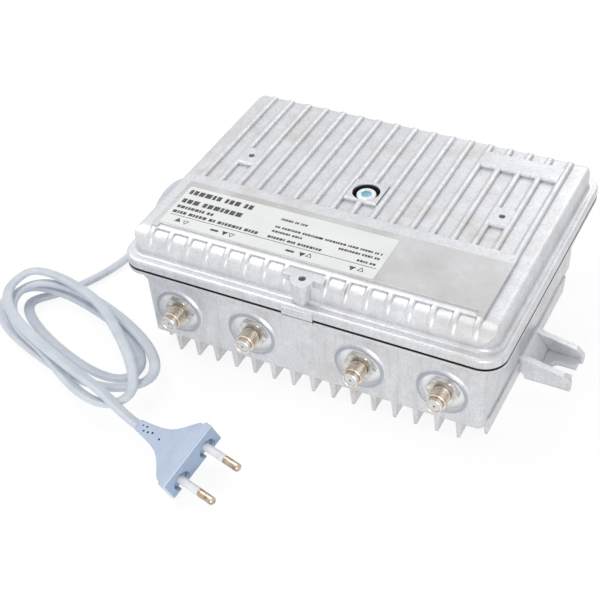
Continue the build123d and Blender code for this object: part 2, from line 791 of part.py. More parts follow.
# Hand-placed points of the free stretch that reaches the plug
tail_points = [(-106.1, -116.2, 19.2), (-82.1, -123.6, 19.7)]
plug_run = 9.0
run_share = 0.45


def hank_places():
    along = Vector(1, 0, 0).rotate(Axis.Z, hank_turn)
    across = Vector(0, 1, 0).rotate(Axis.Z, hank_turn)
    places = []
    for quarter, (long_share, wide_share) in enumerate(hank_shares):
        flat = Vector(hank_x, hank_y, 0)
        flat = flat + along * (hank_half_length * long_share) + across * (hank_half_width * wide_share)
        whole, part = divmod(quarter, len(quarter_rise_shares))
        layers = whole + quarter_rise_shares[part]
        if whole and part == 0:
            layers = layers + crossing_rise_share
        rise = cord_floor + cord_diameter / 2 + layer_rise * layers
        places.append(Vector(flat.X, flat.Y, rise))
    return places


def biarc(start, heading, end, final):
    # two arcs that leave start along heading and reach end along final
    span = end - start
    both = heading + final
    turn = 2 * (1 - heading.dot(final))
    reach = (-span.dot(both) + math.sqrt(span.dot(both) ** 2 + turn * span.dot(span))) / turn
    near = start + heading * reach
    far = end - final * reach
    joint = (near + far) * 0.5
    return [TangentArc(start, joint, tangent=heading), TangentArc(joint, end, tangent=far - near)]


def make_hank():
    places = hank_places()
    entry = Vector(*lead_points[-1])
    leave = Vector(*tail_points[0])
    first = (places[0] - entry).normalized()
    last = (leave - places[-1]).normalized()
    start = places[0] + first * cord_diameter
    places[0] = start
    headings = [first]
    for k in range(1, len(places) - 1):
        headings.append((places[k + 1] - places[k - 1]).normalized())
    headings.append(last)
    edges = [Line(start - first * cord_diameter, start)]
    for k in range(len(places) - 1):
        edges += biarc(places[k], headings[k], places[k + 1], headings[k + 1])
    end = places[-1] + last * cord_diameter
    edges.append(Line(places[-1], end))
    radii = [edge.edge().radius for edge in edges[1:-1]]
    path = Wire([edge.edge() for edge in edges])
    section = Plane(origin=start - first * cord_diameter, z_dir=first) * Circle(cord_diameter / 2)
    print("hank: tightest bend", round(min(radii), 2), "length", round(path.length, 1))
    hank = sweep(section, path=path)
    print("hank: least gap to itself", round(least_self_gap(path), 2))
    print("hank: volume over section times length", round(tube_share(hank, path.length), 4))
    return hank, start - first * cord_diameter, end


def tube_share(tube, length):
    return tube.volume / (math.pi * cord_diameter ** 2 / 4 * length)


def least_self_gap(path):
    # centre points about half a diameter apart, compared past the near stretch of the same turn
    count = int(path.length / (cord_diameter / 2))
    points = [path.position_at(i / count) for i in range(count + 1)]
    near = int(math.pi * cord_diameter / (cord_diameter / 2)) + 2
    least = path.length
    for i in range(0, len(points) - near):
        for j in range(i + near, len(points)):
            least = min(least, (points[i] - points[j]).length)
    return least - cord_diameter


def make_stretch(points, name):
    points = [Vector(*p) for p in points]
    runs = [(b - a).length for a, b in zip(points, points[1:])]
    radii = []
    for k in range(1, len(points) - 1):
        turn = (points[k] - points[k - 1]).get_angle(points[k + 1] - points[k])
        radii.append(run_share * min(runs[k - 1], runs[k]) / math.tan(math.radians(turn / 2)))
    path = FilletPolyline(*points, radius=radii)
    heading = (points[1] - points[0]).normalized()
    section = Plane(origin=points[0], z_dir=heading) * Circle(cord_diameter / 2)
    tube = sweep(section, path=path)
    print(name, "radii", [round(r, 1) for r in radii], "runs", [round(r, 1) for r in runs])
    print(name, "length", round(path.length, 1), "volume share", round(tube_share(tube, path.length), 4))
    return tube


# Inner pieces stand on the boards
board_top = board_z + board_thickness
board_hole_gap = 0.1
board_screw_head_r = 2.7
board_screw_head = 1.8


def make_board(area):
    left, right, front, back = area
    board = block(left, right, front, back, board_z, board_top)
    for x, y in standoff_places(area):
        board = board - upright(board_screw_r + board_hole_gap, x, y, board_z - overrun, board_top + overrun)
    return board


def make_board_screws():
    screws = []
    for x, y in all_standoffs:
        shank = upright(board_screw_r - seat_gap, x, y, base_z + base_floor + board_thickness, board_top)
        head = upright(board_screw_head_r, x, y, board_top, board_top + board_screw_head)
        screws.append(shank + head)
    return group(screws)


# Mains side: terminal block, fuse and its clips, transformer, capacitors and rectifier
terminal_gap = 3.0
terminal_depth = 12.0
terminal_half = 8.5
terminal_height = 10.5
terminal_screw_r = 2.2
terminal_pitch = 8.0
terminal_screw_height = 2.4
wire_r = 1.1
wire_split = 1.15
inlet_end_x = inner_left + gland_inlet_reach
terminal_x = power_board[0] + terminal_gap


def make_terminal():
    terminal = block(
        terminal_x, terminal_x + terminal_depth, gland_y - terminal_half, gland_y + terminal_half,
        board_top, board_top + terminal_height)
    screws = []
    for side in (-1, 1):
        x = terminal_x + terminal_depth / 2
        y = gland_y + side * terminal_pitch / 2
        floor = board_top + terminal_height - terminal_screw_height
        terminal = terminal - upright(terminal_screw_r + fit_gap, x, y, floor, floor + 2 * overrun)
        screw = upright(terminal_screw_r, x, y, floor, floor + terminal_screw_height - fit_gap)
        slot = block(
            x - terminal_screw_r - overrun, x + terminal_screw_r + overrun,
            y - wire_r / 4, y + wire_r / 4, floor + terminal_screw_height / 2, floor + 2 * overrun)
        screws.append(screw - slot)
    wires = [
        along_x(wire_r, gland_y + side * wire_split, gland_z, inlet_end_x, terminal_x)
        for side in (-1, 1)]
    return terminal, group(screws), group(wires)


fuse_r = 2.6
fuse_length = 20.0
fuse_cap = 5.0
fuse_gap = 9.0
fuse_x = terminal_x + terminal_depth + fuse_gap
fuse_lift = 4.2
fuse_back_gap = 15.0
fuse_y = power_board[3] - fuse_back_gap
clip_wall = 1.0
clip_length = 4.0


def make_fuse():
    y0 = fuse_y - fuse_length / 2
    z = board_top + fuse_lift
    fuse = along_y(fuse_r, fuse_x, z, y0, y0 + fuse_length)
    glass = along_y(fuse_r + overrun, fuse_x, z, y0 + fuse_cap, y0 + fuse_length - fuse_cap)
    glass = glass - along_y(fuse_r - fit_gap, fuse_x, z, y0, y0 + fuse_length)
    fuse = fuse - glass
    clips = []
    for start in (y0, y0 + fuse_length - clip_length):
        clip = block(
            fuse_x - fuse_r - clip_wall, fuse_x + fuse_r + clip_wall, start, start + clip_length,
            board_top, z + fuse_r / 2)
        clips.append(clip - along_y(
            fuse_r + seat_gap, fuse_x, z, start - overrun, start + clip_length + overrun))
    return fuse, group(clips)


core_length = 30.0
core_depth = 15.0
core_height = 25.0
core_leg = 9.0
core_window = 5.5
core_window_height = 15.0
winding_bulge = 5.0
core_edge_gap = 2.0
core_back_gap = 15.0
core_x = power_board[1] - core_length / 2 - core_edge_gap
core_y = power_board[3] - core_back_gap


def make_transformer():
    z0 = board_top
    middle_z = z0 + core_height / 2
    core = block(
        core_x - core_length / 2, core_x + core_length / 2,
        core_y - core_depth / 2, core_y + core_depth / 2, z0, z0 + core_height)
    half_leg = core_leg / 2
    half_window = core_window_height / 2
    for side in (-1, 1):
        near = core_x + side * half_leg
        far = core_x + side * (half_leg + core_window)
        core = core - block(
            min(near, far), max(near, far), core_y - core_depth, core_y + core_depth,
            middle_z - half_window, middle_z + half_window)
    reach = half_leg + core_window - running_gap
    depth = core_depth / 2 + winding_bulge
    tall = half_window - running_gap
    winding = slab(2 * reach, 2 * depth, winding_bulge / 2, core_x, core_y, middle_z - tall, middle_z + tall)
    winding = winding - block(
        core_x - half_leg - running_gap, core_x + half_leg + running_gap,
        core_y - core_depth / 2 - running_gap, core_y + core_depth / 2 + running_gap,
        middle_z - core_height, middle_z + core_height)
    return core, winding


capacitor_sizes = [(6.0, 22.0), (5.0, 18.0), (5.0, 18.0)]
capacitor_right_gaps = [14.0, 28.0, 40.5]
capacitor_front_gap = 10.0
capacitor_y = power_board[2] + capacitor_front_gap
capacitor_places = [(power_board[1] - gap, capacitor_y) for gap in capacitor_right_gaps]
capacitor_edge = 0.6
regulator_width = 10.0
regulator_depth = 4.5
regulator_height = 15.0
regulator_left_gap = 2.25
regulator_front_gap = 8.45
regulator_x = power_board[0] + regulator_left_gap
regulator_y = power_board[2] + regulator_front_gap


def make_capacitors():
    cans = []
    for (radius, height), (x, y) in zip(capacitor_sizes, capacitor_places):
        can = upright(radius, x, y, board_top, board_top + height)
        cans.append(chamfer(can.edges().group_by(Axis.Z)[-1], capacitor_edge))
    return group(cans)


def make_regulator():
    body = block(
        regulator_x, regulator_x + regulator_width, regulator_y, regulator_y + regulator_depth,
        board_top, board_top + regulator_height)
    hole = along_y(
        board_screw_r, regulator_x + regulator_width / 2, board_top + regulator_height - 2 * board_screw_r,
        regulator_y - overrun, regulator_y + regulator_depth + overrun)
    return body - hole


# Signal side: screening cans, amplifier module, adjusters and a pilot light
can_wall = 0.6
can_height = 12.0
can_hole_r = 2.0
can_split = 20.0
can_width = 44.0
can_front_gap = 11.45
can_back_gap = 6.55
can_front = front_board[2] + can_front_gap
can_back = front_board[3] - can_back_gap
left_can = [screw_x - can_split - can_width, screw_x - can_split, can_front, can_back]
right_can = [screw_x + can_split, screw_x + can_split + can_width, can_front, can_back]
return_can_width = 32.0
return_can_right_gap = 8.15
return_can_front_gap = 8.45
return_can_back_gap = 13.05
return_can = [
    return_board[1] - return_can_right_gap - return_can_width, return_board[1] - return_can_right_gap,
    return_board[2] + return_can_front_gap, return_board[3] - return_can_back_gap]
can_hole_shares = [0.2, 0.5, 0.8]


def make_can(area):
    left, right, front, back = area
    can = block(left, right, front, back, board_top, board_top + can_height)
    can = fillet(can.edges().filter_by(Axis.Z), 2 * can_wall)
    can = can - block(
        left + can_wall, right - can_wall, front + can_wall, back - can_wall,
        board_top - overrun, board_top + can_height - can_wall)
    for share in can_hole_shares:
        x = left + (right - left) * share
        can = can - upright(
            can_hole_r, x, (front + back) / 2, board_top + can_height - 2 * can_wall,
            board_top + can_height + overrun)
    return can


module_half_width = 13.5
module_front = can_front
module_depth = 9.0
module_height = 15.0
module_flange_half = 17.0
module_flange_height = 3.0
module_flange_extra = 2.0
module_hole_r = 1.4


def make_module():
    flange = block(
        -module_flange_half, module_flange_half, module_front - module_flange_extra,
        module_front + module_depth + module_flange_extra, board_top, board_top + module_flange_height)
    body = block(
        -module_half_width, module_half_width, module_front, module_front + module_depth,
        board_top, board_top + module_height)
    for side in (-1, 1):
        x = side * (module_flange_half + module_half_width) / 2
        y = module_front + module_depth / 2
        flange = flange - upright(
            module_hole_r, x, y, board_top - overrun, board_top + 2 * module_flange_height)
    return flange + body


adjuster_names = ["gain", "slope", "return_gain"]
adjuster_split = 9.0
adjuster_y = (module_front + module_depth + module_flange_extra + front_board[3]) / 2
return_adjuster_left_gap = 18.0
return_adjuster_front_gap = 16.45
adjuster_places = [
    (screw_x - adjuster_split, adjuster_y), (screw_x + adjuster_split, adjuster_y),
    (return_board[0] + return_adjuster_left_gap, return_board[2] + return_adjuster_front_gap)]
adjuster_half = 5.5
adjuster_height = 6.5
adjuster_shaft_r = 1.6
adjuster_shaft_sunk = 4.5
knob_r = 4.6
knob_height = 5.0
knob_edge = 0.5
knob_slot = 1.2
knob_slot_depth = 1.4
shaft_gap = 0.05


def make_adjuster(place):
    x, y = place
    top = board_top + adjuster_height
    body = block(x - adjuster_half, x + adjuster_half, y - adjuster_half, y + adjuster_half, board_top, top)
    body = body - upright(
        adjuster_shaft_r + shaft_gap, x, y, top - adjuster_shaft_sunk - running_gap, top + overrun)
    knob_z = top + running_gap
    knob = upright(knob_r, x, y, knob_z, knob_z + knob_height)
    knob = chamfer(knob.edges().group_by(Axis.Z)[-1], knob_edge)
    knob = knob + upright(adjuster_shaft_r, x, y, top - adjuster_shaft_sunk, knob_z)
    slot = block(
        x - knob_r - overrun, x + knob_r + overrun, y - knob_slot / 2, y + knob_slot / 2,
        knob_z + knob_height - knob_slot_depth, knob_z + knob_height + overrun)
    return body, knob - slot


pilot_r = 2.5
pilot_height = 6.0
pilot_left_gap = 8.0
pilot_back_gap = 9.05
pilot_place = (return_board[0] + pilot_left_gap, return_board[3] - pilot_back_gap)
link_width = 14.0
link_thickness = 1.2
link_height = 5.0
link_inset = 3.0
link_places = [-46.0, 34.0]


def make_pilot():
    x, y = pilot_place
    pilot = upright(pilot_r, x, y, board_top, board_top + pilot_height)
    return fillet(pilot.edges().group_by(Axis.Z)[-1], pilot_r * pin_round_share)


def make_links():
    links = []
    for x in link_places:
        y0 = front_board[3] - link_inset
        y1 = rear_board_front + link_inset
        outer = block(x - link_width / 2, x + link_width / 2, y0, y1, board_top, board_top + link_height)
        inner = block(
            x - link_width, x + link_width, y0 + link_thickness, y1 - link_thickness,
            board_top - overrun, board_top + link_height - link_thickness)
        links.append(outer - inner)
    return group(links)


save(make_lid(), "lid")
save(make_gasket(), "lid_gasket")
save(make_base(), "base_housing")
save(make_screw(), "lid_screw")
save(make_screw_seal(), "lid_screw_seal")
save(make_label(), "type_label")

for number, port_x in enumerate(port_places, start=1):
    port, port_nut, port_insulator, port_contact = make_port(port_x)
    save(port, f"port_{number}_barrel")
    save(port_nut, f"port_{number}_nut")
    save(port_insulator, f"port_{number}_insulator")
    save(port_contact, f"port_{number}_contact")

gland_body, gland_nut, gland_seal, gland_locknut_ring, cord_inlet = make_gland()
save(gland_body, "cable_gland_body")
save(gland_nut, "cable_gland_nut")
save(gland_seal, "cable_gland_seal")
save(gland_locknut_ring, "cable_gland_locknut")
save(cord_inlet, "mains_cord_inlet")

plug_body, plug_pins, pin_sleeves = make_plug()
save(plug_body, "plug_body")
save(plug_pins, "plug_pins")
save(pin_sleeves, "plug_pin_sleeves")

hank, hank_start, hank_end = make_hank()
save(hank, "mains_cord_hank")
plug_neck = plug_place * Pos(-plug_length, 0, 0)
plug_approach = plug_place * Pos(-plug_length - plug_run, 0, 0)
lead_start = (gland_end_x, gland_y, gland_z)
lead = make_stretch([lead_start] + lead_points + [tuple(hank_start)], "lead")
tail = make_stretch(
    [tuple(hank_end)] + tail_points + [tuple(plug_approach.position), tuple(plug_neck.position)],
    "tail")
save(lead, "mains_cord_lead")
save(tail, "mains_cord_tail")

save(make_board(front_board), "amplifier_board")
save(make_board(power_board), "power_board")
save(make_board(return_board), "return_board")
save(make_board_screws(), "board_screws")
terminal_block, terminal_screws, mains_wires = make_terminal()
save(terminal_block, "mains_terminal_block")
save(terminal_screws, "terminal_screws")
save(mains_wires, "mains_wires")
mains_fuse, fuse_clips = make_fuse()
save(mains_fuse, "mains_fuse")
save(fuse_clips, "fuse_clips")
transformer_core, transformer_winding = make_transformer()
save(transformer_core, "transformer_core")
save(transformer_winding, "transformer_winding")
save(make_capacitors(), "filter_capacitors")
save(make_regulator(), "voltage_regulator")
save(make_can(left_can), "left_filter_can")
save(make_can(right_can), "right_filter_can")
save(make_can(return_can), "return_filter_can")
save(make_module(), "amplifier_module")
for adjuster_name, adjuster_place in zip(adjuster_names, adjuster_places):
    adjuster_body, adjuster_knob = make_adjuster(adjuster_place)
    save(adjuster_body, f"{adjuster_name}_adjuster_body")
    save(adjuster_knob, f"{adjuster_name}_adjuster_knob")
save(make_pilot(), "pilot_light")
save(make_links(), "board_links")
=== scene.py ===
import math

import bpy
from mathutils import Matrix, Vector


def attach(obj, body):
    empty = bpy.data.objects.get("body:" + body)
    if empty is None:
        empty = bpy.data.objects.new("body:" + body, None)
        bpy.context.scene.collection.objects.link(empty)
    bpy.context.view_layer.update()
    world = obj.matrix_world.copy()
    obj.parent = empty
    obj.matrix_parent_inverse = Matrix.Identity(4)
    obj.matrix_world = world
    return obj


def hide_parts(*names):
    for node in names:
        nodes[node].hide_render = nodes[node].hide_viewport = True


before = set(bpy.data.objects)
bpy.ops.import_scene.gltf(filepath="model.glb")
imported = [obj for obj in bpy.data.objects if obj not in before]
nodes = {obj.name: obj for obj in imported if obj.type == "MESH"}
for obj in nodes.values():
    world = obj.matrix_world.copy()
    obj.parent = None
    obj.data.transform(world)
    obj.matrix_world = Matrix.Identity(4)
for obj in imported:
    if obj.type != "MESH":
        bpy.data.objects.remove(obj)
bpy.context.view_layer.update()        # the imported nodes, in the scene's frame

mm = 0.001          # in the scene's metres
metre = 1000        # in the millimetres that pattern sizes are given in
scene = bpy.context.scene
scene.view_settings.view_transform = "Standard"


def selectNothing():
    if bpy.context.object and bpy.context.object.mode != "OBJECT":
        bpy.ops.object.mode_set(mode="OBJECT")
    bpy.ops.object.select_all(action="DESELECT")


def makeActive(piece):
    selectNothing()
    piece.select_set(True)
    bpy.context.view_layer.objects.active = piece


def linear(hexColour):
    # sRGB hex to the linear values that a shader takes
    shares = [int(hexColour[i:i + 2], 16) / 255 for i in (1, 3, 5)]
    return tuple(s / 12.92 if s <= 0.04045 else ((s + 0.055) / 1.055) ** 2.4 for s in shares) + (1.0,)


def settle(piece):
    # leaves the piece's place in its mesh
    makeActive(piece)
    bpy.ops.object.transform_apply(location=True, rotation=True, scale=True)
    return piece


def applyModifier(piece, kind, settings):
    makeActive(piece)
    modifier = piece.modifiers.new(kind.lower(), kind)
    for key, value in settings.items():
        setattr(modifier, key, value)
    bpy.ops.object.modifier_apply(modifier=modifier.name)


def cutAway(piece, tool):
    applyModifier(piece, "BOOLEAN", {"operation": "DIFFERENCE", "object": tool, "solver": "EXACT"})
    bpy.data.objects.remove(tool)


def smoothByAngle(piece, degrees):
    makeActive(piece)
    bpy.ops.object.shade_smooth_by_angle(angle=math.radians(degrees))


def addNode(tree, kind, settings=None, links=None):
    node = tree.nodes.new("ShaderNode" + kind)
    for name, value in (settings or {}).items():
        if isinstance(name, str) and hasattr(node, name):
            setattr(node, name, value)
        else:
            node.inputs[name].default_value = value
    for name, source in (links or {}).items():
        tree.links.new(source, node.inputs[name])
    return node


def startMaterial(name):
    material = bpy.data.materials.new(name)
    material.use_nodes = True
    tree = material.node_tree
    tree.nodes.clear()
    return material, tree, addNode(tree, "TexCoord").outputs["Object"]


def layColours(tree, finish, layers):
    # over the finish's light ground, each layer is a share and the colour that it lays on the ones before
    colour = None
    for share, shade in layers:
        laid = addNode(tree, "MixRGB",
                       {"Color1": linear(finish["light"]), "Color2": linear(finish[shade])},
                       {"Fac": share.outputs[0]})
        if colour:
            tree.links.new(colour, laid.inputs["Color1"])
        colour = laid.outputs[0]
    return colour


def closeMaterial(tree, settings, links):
    shader = addNode(tree, "BsdfPrincipled", settings, links)
    addNode(tree, "OutputMaterial", links={"Surface": shader.outputs[0]})


# Camera of the photograph
photoCamera = {"x": 219.98, "y": -443.82, "z": 437.82, "azimuth": 30.34, "elevation": 40.97, "roll": -4.86,
               "lens": 75.04, "film": 36.0, "nearest": 10.0}


def placeCamera():
    azimuth, elevation, roll = (math.radians(photoCamera[k]) for k in ("azimuth", "elevation", "roll"))
    back = Vector((math.sin(azimuth) * math.cos(elevation), -math.cos(azimuth) * math.cos(elevation),
                   math.sin(elevation)))
    right = Vector((math.cos(azimuth), math.sin(azimuth), 0))
    up = back.cross(right)
    turnedRight = right * math.cos(roll) + up * math.sin(roll)
    turnedUp = up * math.cos(roll) - right * math.sin(roll)
    selectNothing()
    bpy.ops.object.camera_add()
    camera = bpy.context.object
    pose = Matrix((turnedRight, turnedUp, back)).transposed().to_4x4()
    pose.translation = Vector((photoCamera["x"], photoCamera["y"], photoCamera["z"])) * mm
    camera.matrix_world = pose
    camera.data.lens = photoCamera["lens"]
    camera.data.sensor_width = photoCamera["film"]
    camera.data.clip_start = photoCamera["nearest"] * mm
    scene.camera = camera


placeCamera()
print("camera placed")


# Two-core flat flex: out of the gland, three and a half loops on the floor, then to the plug.
# Its route is given; each quarter of a loop ends at shares of the loops' half length and half width.
flatFlex = {
    "width": 5.6, "thickness": 3.5, "length": 1025.0,
    "fullness": 0.8, "waist": 0.175, "waistWidth": 0.8, "profilePoints": 20,
    "twist": 0.35, "twistStep": 0.37,
    "exit": (-112.35, 33.05, 27.5),
    "lead": [(-125.5, 33.05, 27.5), (-135.0, 24.5, 22.5), (-136.0, 7.5, 11.5), (-136.5, -10.0, 3.8),
             (-141.5, -28.5, 2.2), (-149.5, -46.5, 2.2), (-158.5, -58.5, 2.2)],
    "hankCentre": (-122.0, -84.0), "hankTurn": -20.0, "hankHalf": (54.0, 25.0),
    "quarterShares": [(-0.88, 0.02), (0.0, -0.52), (0.77, 0.02), (0.0, 0.67), (-1.0, -0.12),
                      (-0.1, -1.02), (1.01, 0.0), (0.0, 0.77), (-0.91, -0.1), (0.05, -0.95),
                      (1.12, -0.58), (-0.1, 0.64), (-0.98, -0.02), (0.02, -0.98)],
    "riseShares": [0.0, 0.36, 0.7, 0.99], "seamShare": 0.08, "layerRise": 4.75, "lowest": 2.2,
    "stepsPerQuarter": 4, "roundness": 1.015, "squareness": 0.86,
    "tail": [(-106.1, -116.2, 19.2), (-82.1, -123.6, 19.7)],
    "plugFace": (-18.4, -141.3, 13.115), "plugTurn": -14.4, "plugDip": 1.0, "plugRoll": 21.8,
    "plugLength": 38.0, "plugRun": 9.0}


def plugMatrix():
    # the plug's pins point along its own X
    turn = Matrix.Rotation(math.radians(flatFlex["plugTurn"]), 4, "Z")
    dip = Matrix.Rotation(math.radians(flatFlex["plugDip"]), 4, "Y")
    roll = Matrix.Rotation(math.radians(flatFlex["plugRoll"]), 4, "X")
    return Matrix.Translation(Vector(flatFlex["plugFace"])) @ turn @ dip @ roll


def quarterRise(quarter):
    # how many layers up the flex is where a quarter begins, a little more where a new loop starts
    whole, part = divmod(quarter, 4)
    return whole + flatFlex["riseShares"][part] + (flatFlex["seamShare"] if whole and part == 0 else 0)


def hankPoints():
    turn = math.radians(flatFlex["hankTurn"])
    along = Vector((math.cos(turn), math.sin(turn), 0)) * flatFlex["hankHalf"][0]
    across = Vector((-math.sin(turn), math.cos(turn), 0)) * flatFlex["hankHalf"][1]
    centre = Vector(flatFlex["hankCentre"] + (0,))
    quarters = flatFlex["quarterShares"]
    last = len(quarters) - 1
    points = []
    for quarter in range(last):
        near, far = quarters[quarter], quarters[quarter + 1]
        rises = [quarterRise(k) for k in (quarter, quarter + 1)]
        for step in range(flatFlex["stepsPerQuarter"]):
            share = step / flatFlex["stepsPerQuarter"]
            swing = share * math.pi / 2
            fallen, risen = (wave(swing) ** flatFlex["squareness"] for wave in (math.cos, math.sin))
            longShare = near[0] * fallen + far[0] * risen
            wideShare = near[1] * fallen + far[1] * risen
            rise = flatFlex["lowest"] + flatFlex["layerRise"] * (rises[0] + (rises[1] - rises[0]) * share)
            flat = centre + (along * longShare + across * wideShare) * flatFlex["roundness"]
            points.append(Vector((flat.x, flat.y, rise)))
    flat = centre + along * quarters[last][0] + across * quarters[last][1]
    points.append(Vector((flat.x, flat.y, flatFlex["lowest"] + flatFlex["layerRise"] * quarterRise(last))))
    return points


def flexRoute():
    place = plugMatrix()
    approach = place @ Vector((-flatFlex["plugLength"] - flatFlex["plugRun"], 0, 0))
    neck = place @ Vector((-flatFlex["plugLength"], 0, 0))
    points = [Vector(flatFlex["exit"])] + [Vector(p) for p in flatFlex["lead"]] + hankPoints()
    return points + [Vector(p) for p in flatFlex["tail"]] + [approach, neck]


def flexProfile():
    # two cores side by side: an oval with a slight waist along the middle of each flat side
    selectNothing()
    bpy.ops.curve.primitive_bezier_circle_add(radius=1)
    profile = bpy.context.object
    profile.data.splines.remove(profile.data.splines[0])
    spline = profile.data.splines.new("POLY")
    count = flatFlex["profilePoints"]
    spline.points.add(count - 1)
    for k in range(count):
        wide, thick = (wave(2 * math.pi * k / count) for wave in (math.cos, math.sin))
        x = flatFlex["width"] / 2 * math.copysign(abs(wide) ** flatFlex["fullness"], wide)
        y = flatFlex["thickness"] / 2 * math.copysign(abs(thick) ** flatFlex["fullness"], thick)
        y *= 1 - flatFlex["waist"] * math.exp(-(x / flatFlex["waistWidth"]) ** 2)
        spline.points[k].co = (x * mm, y * mm, 0, 1)
    spline.use_cyclic_u = True
    return profile


def makeFlex():
    line = bpy.data.curves.new("mainsFlexLine", "CURVE")
    line.dimensions = "3D"
    line.resolution_u = 6
    line.twist_mode = "Z_UP"
    route = flexRoute()
    spline = line.splines.new("NURBS")
    spline.points.add(len(route) - 1)
    for k, (point, place) in enumerate(zip(spline.points, route)):
        point.co = (*(place * mm), 1)
        point.tilt = flatFlex["twist"] * math.sin(k * flatFlex["twistStep"])
    spline.order_u = 3
    spline.use_endpoint_u = True
    line.use_fill_caps = True
    flex = bpy.data.objects.new("mainsFlex", line)
    scene.collection.objects.link(flex)
    bpy.context.view_layer.update()
    bare = bpy.data.meshes.new_from_object(flex)
    path = [tuple(v.co) for v in bare.vertices]
    profile = flexProfile()
    line.bevel_mode = "OBJECT"
    line.bevel_object = profile
    makeActive(flex)
    bpy.ops.object.convert(target="MESH")
    flex = bpy.context.object
    flex.name = "mainsFlex"
    bpy.data.objects.remove(profile)
    smoothByAngle(flex, 50)
    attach(flex, "base")
    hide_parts("mains_cord_lead", "mains_cord_hank", "mains_cord_tail")
    length = sum((Vector(b) - Vector(a)).length for a, b in zip(path, path[1:]))
    lowest = min(v.co.z for v in flex.data.vertices)
    print("flex length on its line", round(length / mm, 1), "lowest", round(lowest / mm, 2))
    return flex, path


# Moulded two-pin plug: a slim tapered relief that widens to a stepped face with a pocket round each pin.
# A station is its place along the pins, its half width and its half height.
plugShell = {
    "stations": [(-38.0, 2.8, 2.8), (-34.0, 3.3, 3.15), (-30.0, 3.85, 3.55), (-26.0, 4.55, 4.1),
                 (-22.5, 5.35, 4.75), (-19.5, 6.4, 5.35), (-17.0, 7.9, 5.75), (-14.7, 9.8, 6.1),
                 (-12.5, 12.0, 6.4), (-10.6, 14.0, 6.6), (-9.2, 15.4, 6.75), (-8.0, 16.2, 6.85),
                 (-6.4, 16.2, 6.85), (-6.4, 17.65, 6.85), (-2.4, 17.65, 6.85)],
    "edge": 1.9, "pinGap": 18.6, "pinHole": 1.52, "pinSunk": 5.6,
    "pocketRadius": 5.0, "pocketDrop": 2.5, "pocketDepth": 5.0,
    "dots": [(-34.5, 0.9), (-32.3, -1.1), (-31.9, 1.3), (-29.8, -0.7), (-27.2, 0.2), (-21.5, -0.6)],
    "dotRadius": 0.6, "dotDepth": 5.0, "dotHeight": 5.2,
    "sleeveRadius": 2.0, "sleeveEnds": (-5.2, 10.0), "sleeveEdge": 0.3}


def placePlugPiece(piece, node):
    piece.matrix_world = plugMatrix()
    piece.matrix_world.translation = plugMatrix().translation * mm
    settle(piece)
    smoothByAngle(piece, 35)
    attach(piece, "base")
    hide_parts(node)


def makePlugShell():
    stations = plugShell["stations"]
    start = stations[0]
    selectNothing()
    bpy.ops.mesh.primitive_plane_add(size=2)
    shell = bpy.context.object
    shell.name = "plugShell"
    bpy.ops.object.mode_set(mode="EDIT")
    bpy.ops.mesh.select_all(action="SELECT")
    bpy.ops.transform.rotate(value=math.radians(90), orient_axis="Y", center_override=(0, 0, 0))
    bpy.ops.transform.resize(value=(1, start[1] * mm, start[2] * mm), center_override=(0, 0, 0))
    bpy.ops.transform.translate(value=(start[0] * mm, 0, 0))
    for near, far in zip(stations, stations[1:]):
        bpy.ops.mesh.extrude_region_move(TRANSFORM_OT_translate={"value": ((far[0] - near[0]) * mm, 0, 0)})
        bpy.ops.transform.resize(value=(1, far[1] / near[1], far[2] / near[2]),
                                 center_override=(far[0] * mm, 0, 0))
    bpy.ops.mesh.select_all(action="SELECT")
    bpy.ops.mesh.normals_make_consistent(inside=False)
    bpy.ops.object.mode_set(mode="OBJECT")
    applyModifier(shell, "BEVEL", {"width": plugShell["edge"] * mm, "segments": 4, "limit_method": "ANGLE",
                                   "angle_limit": math.radians(50), "use_clamp_overlap": True})
    selectNothing()
    pocket = (plugShell["pocketRadius"], plugShell["pocketDepth"], plugShell["pocketDrop"])
    pinHole = (plugShell["pinHole"], plugShell["pinSunk"], 0)
    for side in (-1, 1):
        y = side * plugShell["pinGap"] / 2
        for radius, reach, drop in (pocket, pinHole):
            bpy.ops.mesh.primitive_cylinder_add(
                vertices=40, radius=radius * mm, depth=2 * reach * mm, rotation=(0, math.radians(90), 0),
                location=(0, y * mm, -drop * mm))
            cutAway(shell, settle(bpy.context.object))
    for x, y in plugShell["dots"]:
        bpy.ops.mesh.primitive_cylinder_add(
            vertices=12, radius=plugShell["dotRadius"] * mm, depth=plugShell["dotDepth"] * mm,
            location=(x * mm, y * mm, plugShell["dotHeight"] * mm))
        cutAway(shell, settle(bpy.context.object))
    placePlugPiece(shell, "plug_body")
    return shell


def makePinSleeves():
    # half-length sleeves moulded round the pins, rounded at their ends
    near, far = plugShell["sleeveEnds"]
    selectNothing()
    bpy.ops.mesh.primitive_cylinder_add(
        vertices=32, radius=plugShell["sleeveRadius"] * mm, depth=(far - near) * mm,
        rotation=(0, math.radians(90), 0),
        location=((near + far) / 2 * mm, -plugShell["pinGap"] / 2 * mm, 0))
    sleeves = settle(bpy.context.object)
    sleeves.name = "pinSleeves"
    applyModifier(sleeves, "BEVEL",
                  {"width": plugShell["sleeveEdge"] * mm, "segments": 3, "limit_method": "ANGLE"})
    bpy.ops.object.mode_set(mode="EDIT")
    bpy.ops.mesh.select_all(action="SELECT")
    bpy.ops.mesh.duplicate_move(TRANSFORM_OT_translate={"value": (0, plugShell["pinGap"] * mm, 0)})
    bpy.ops.object.mode_set(mode="OBJECT")
    placePlugPiece(sleeves, "plug_pin_sleeves")
    return sleeves


plugPiece = makePlugShell()
pinSleeves = makePinSleeves()
print("plug shell made")
flex, flexPath = makeFlex()
print("flex laid")


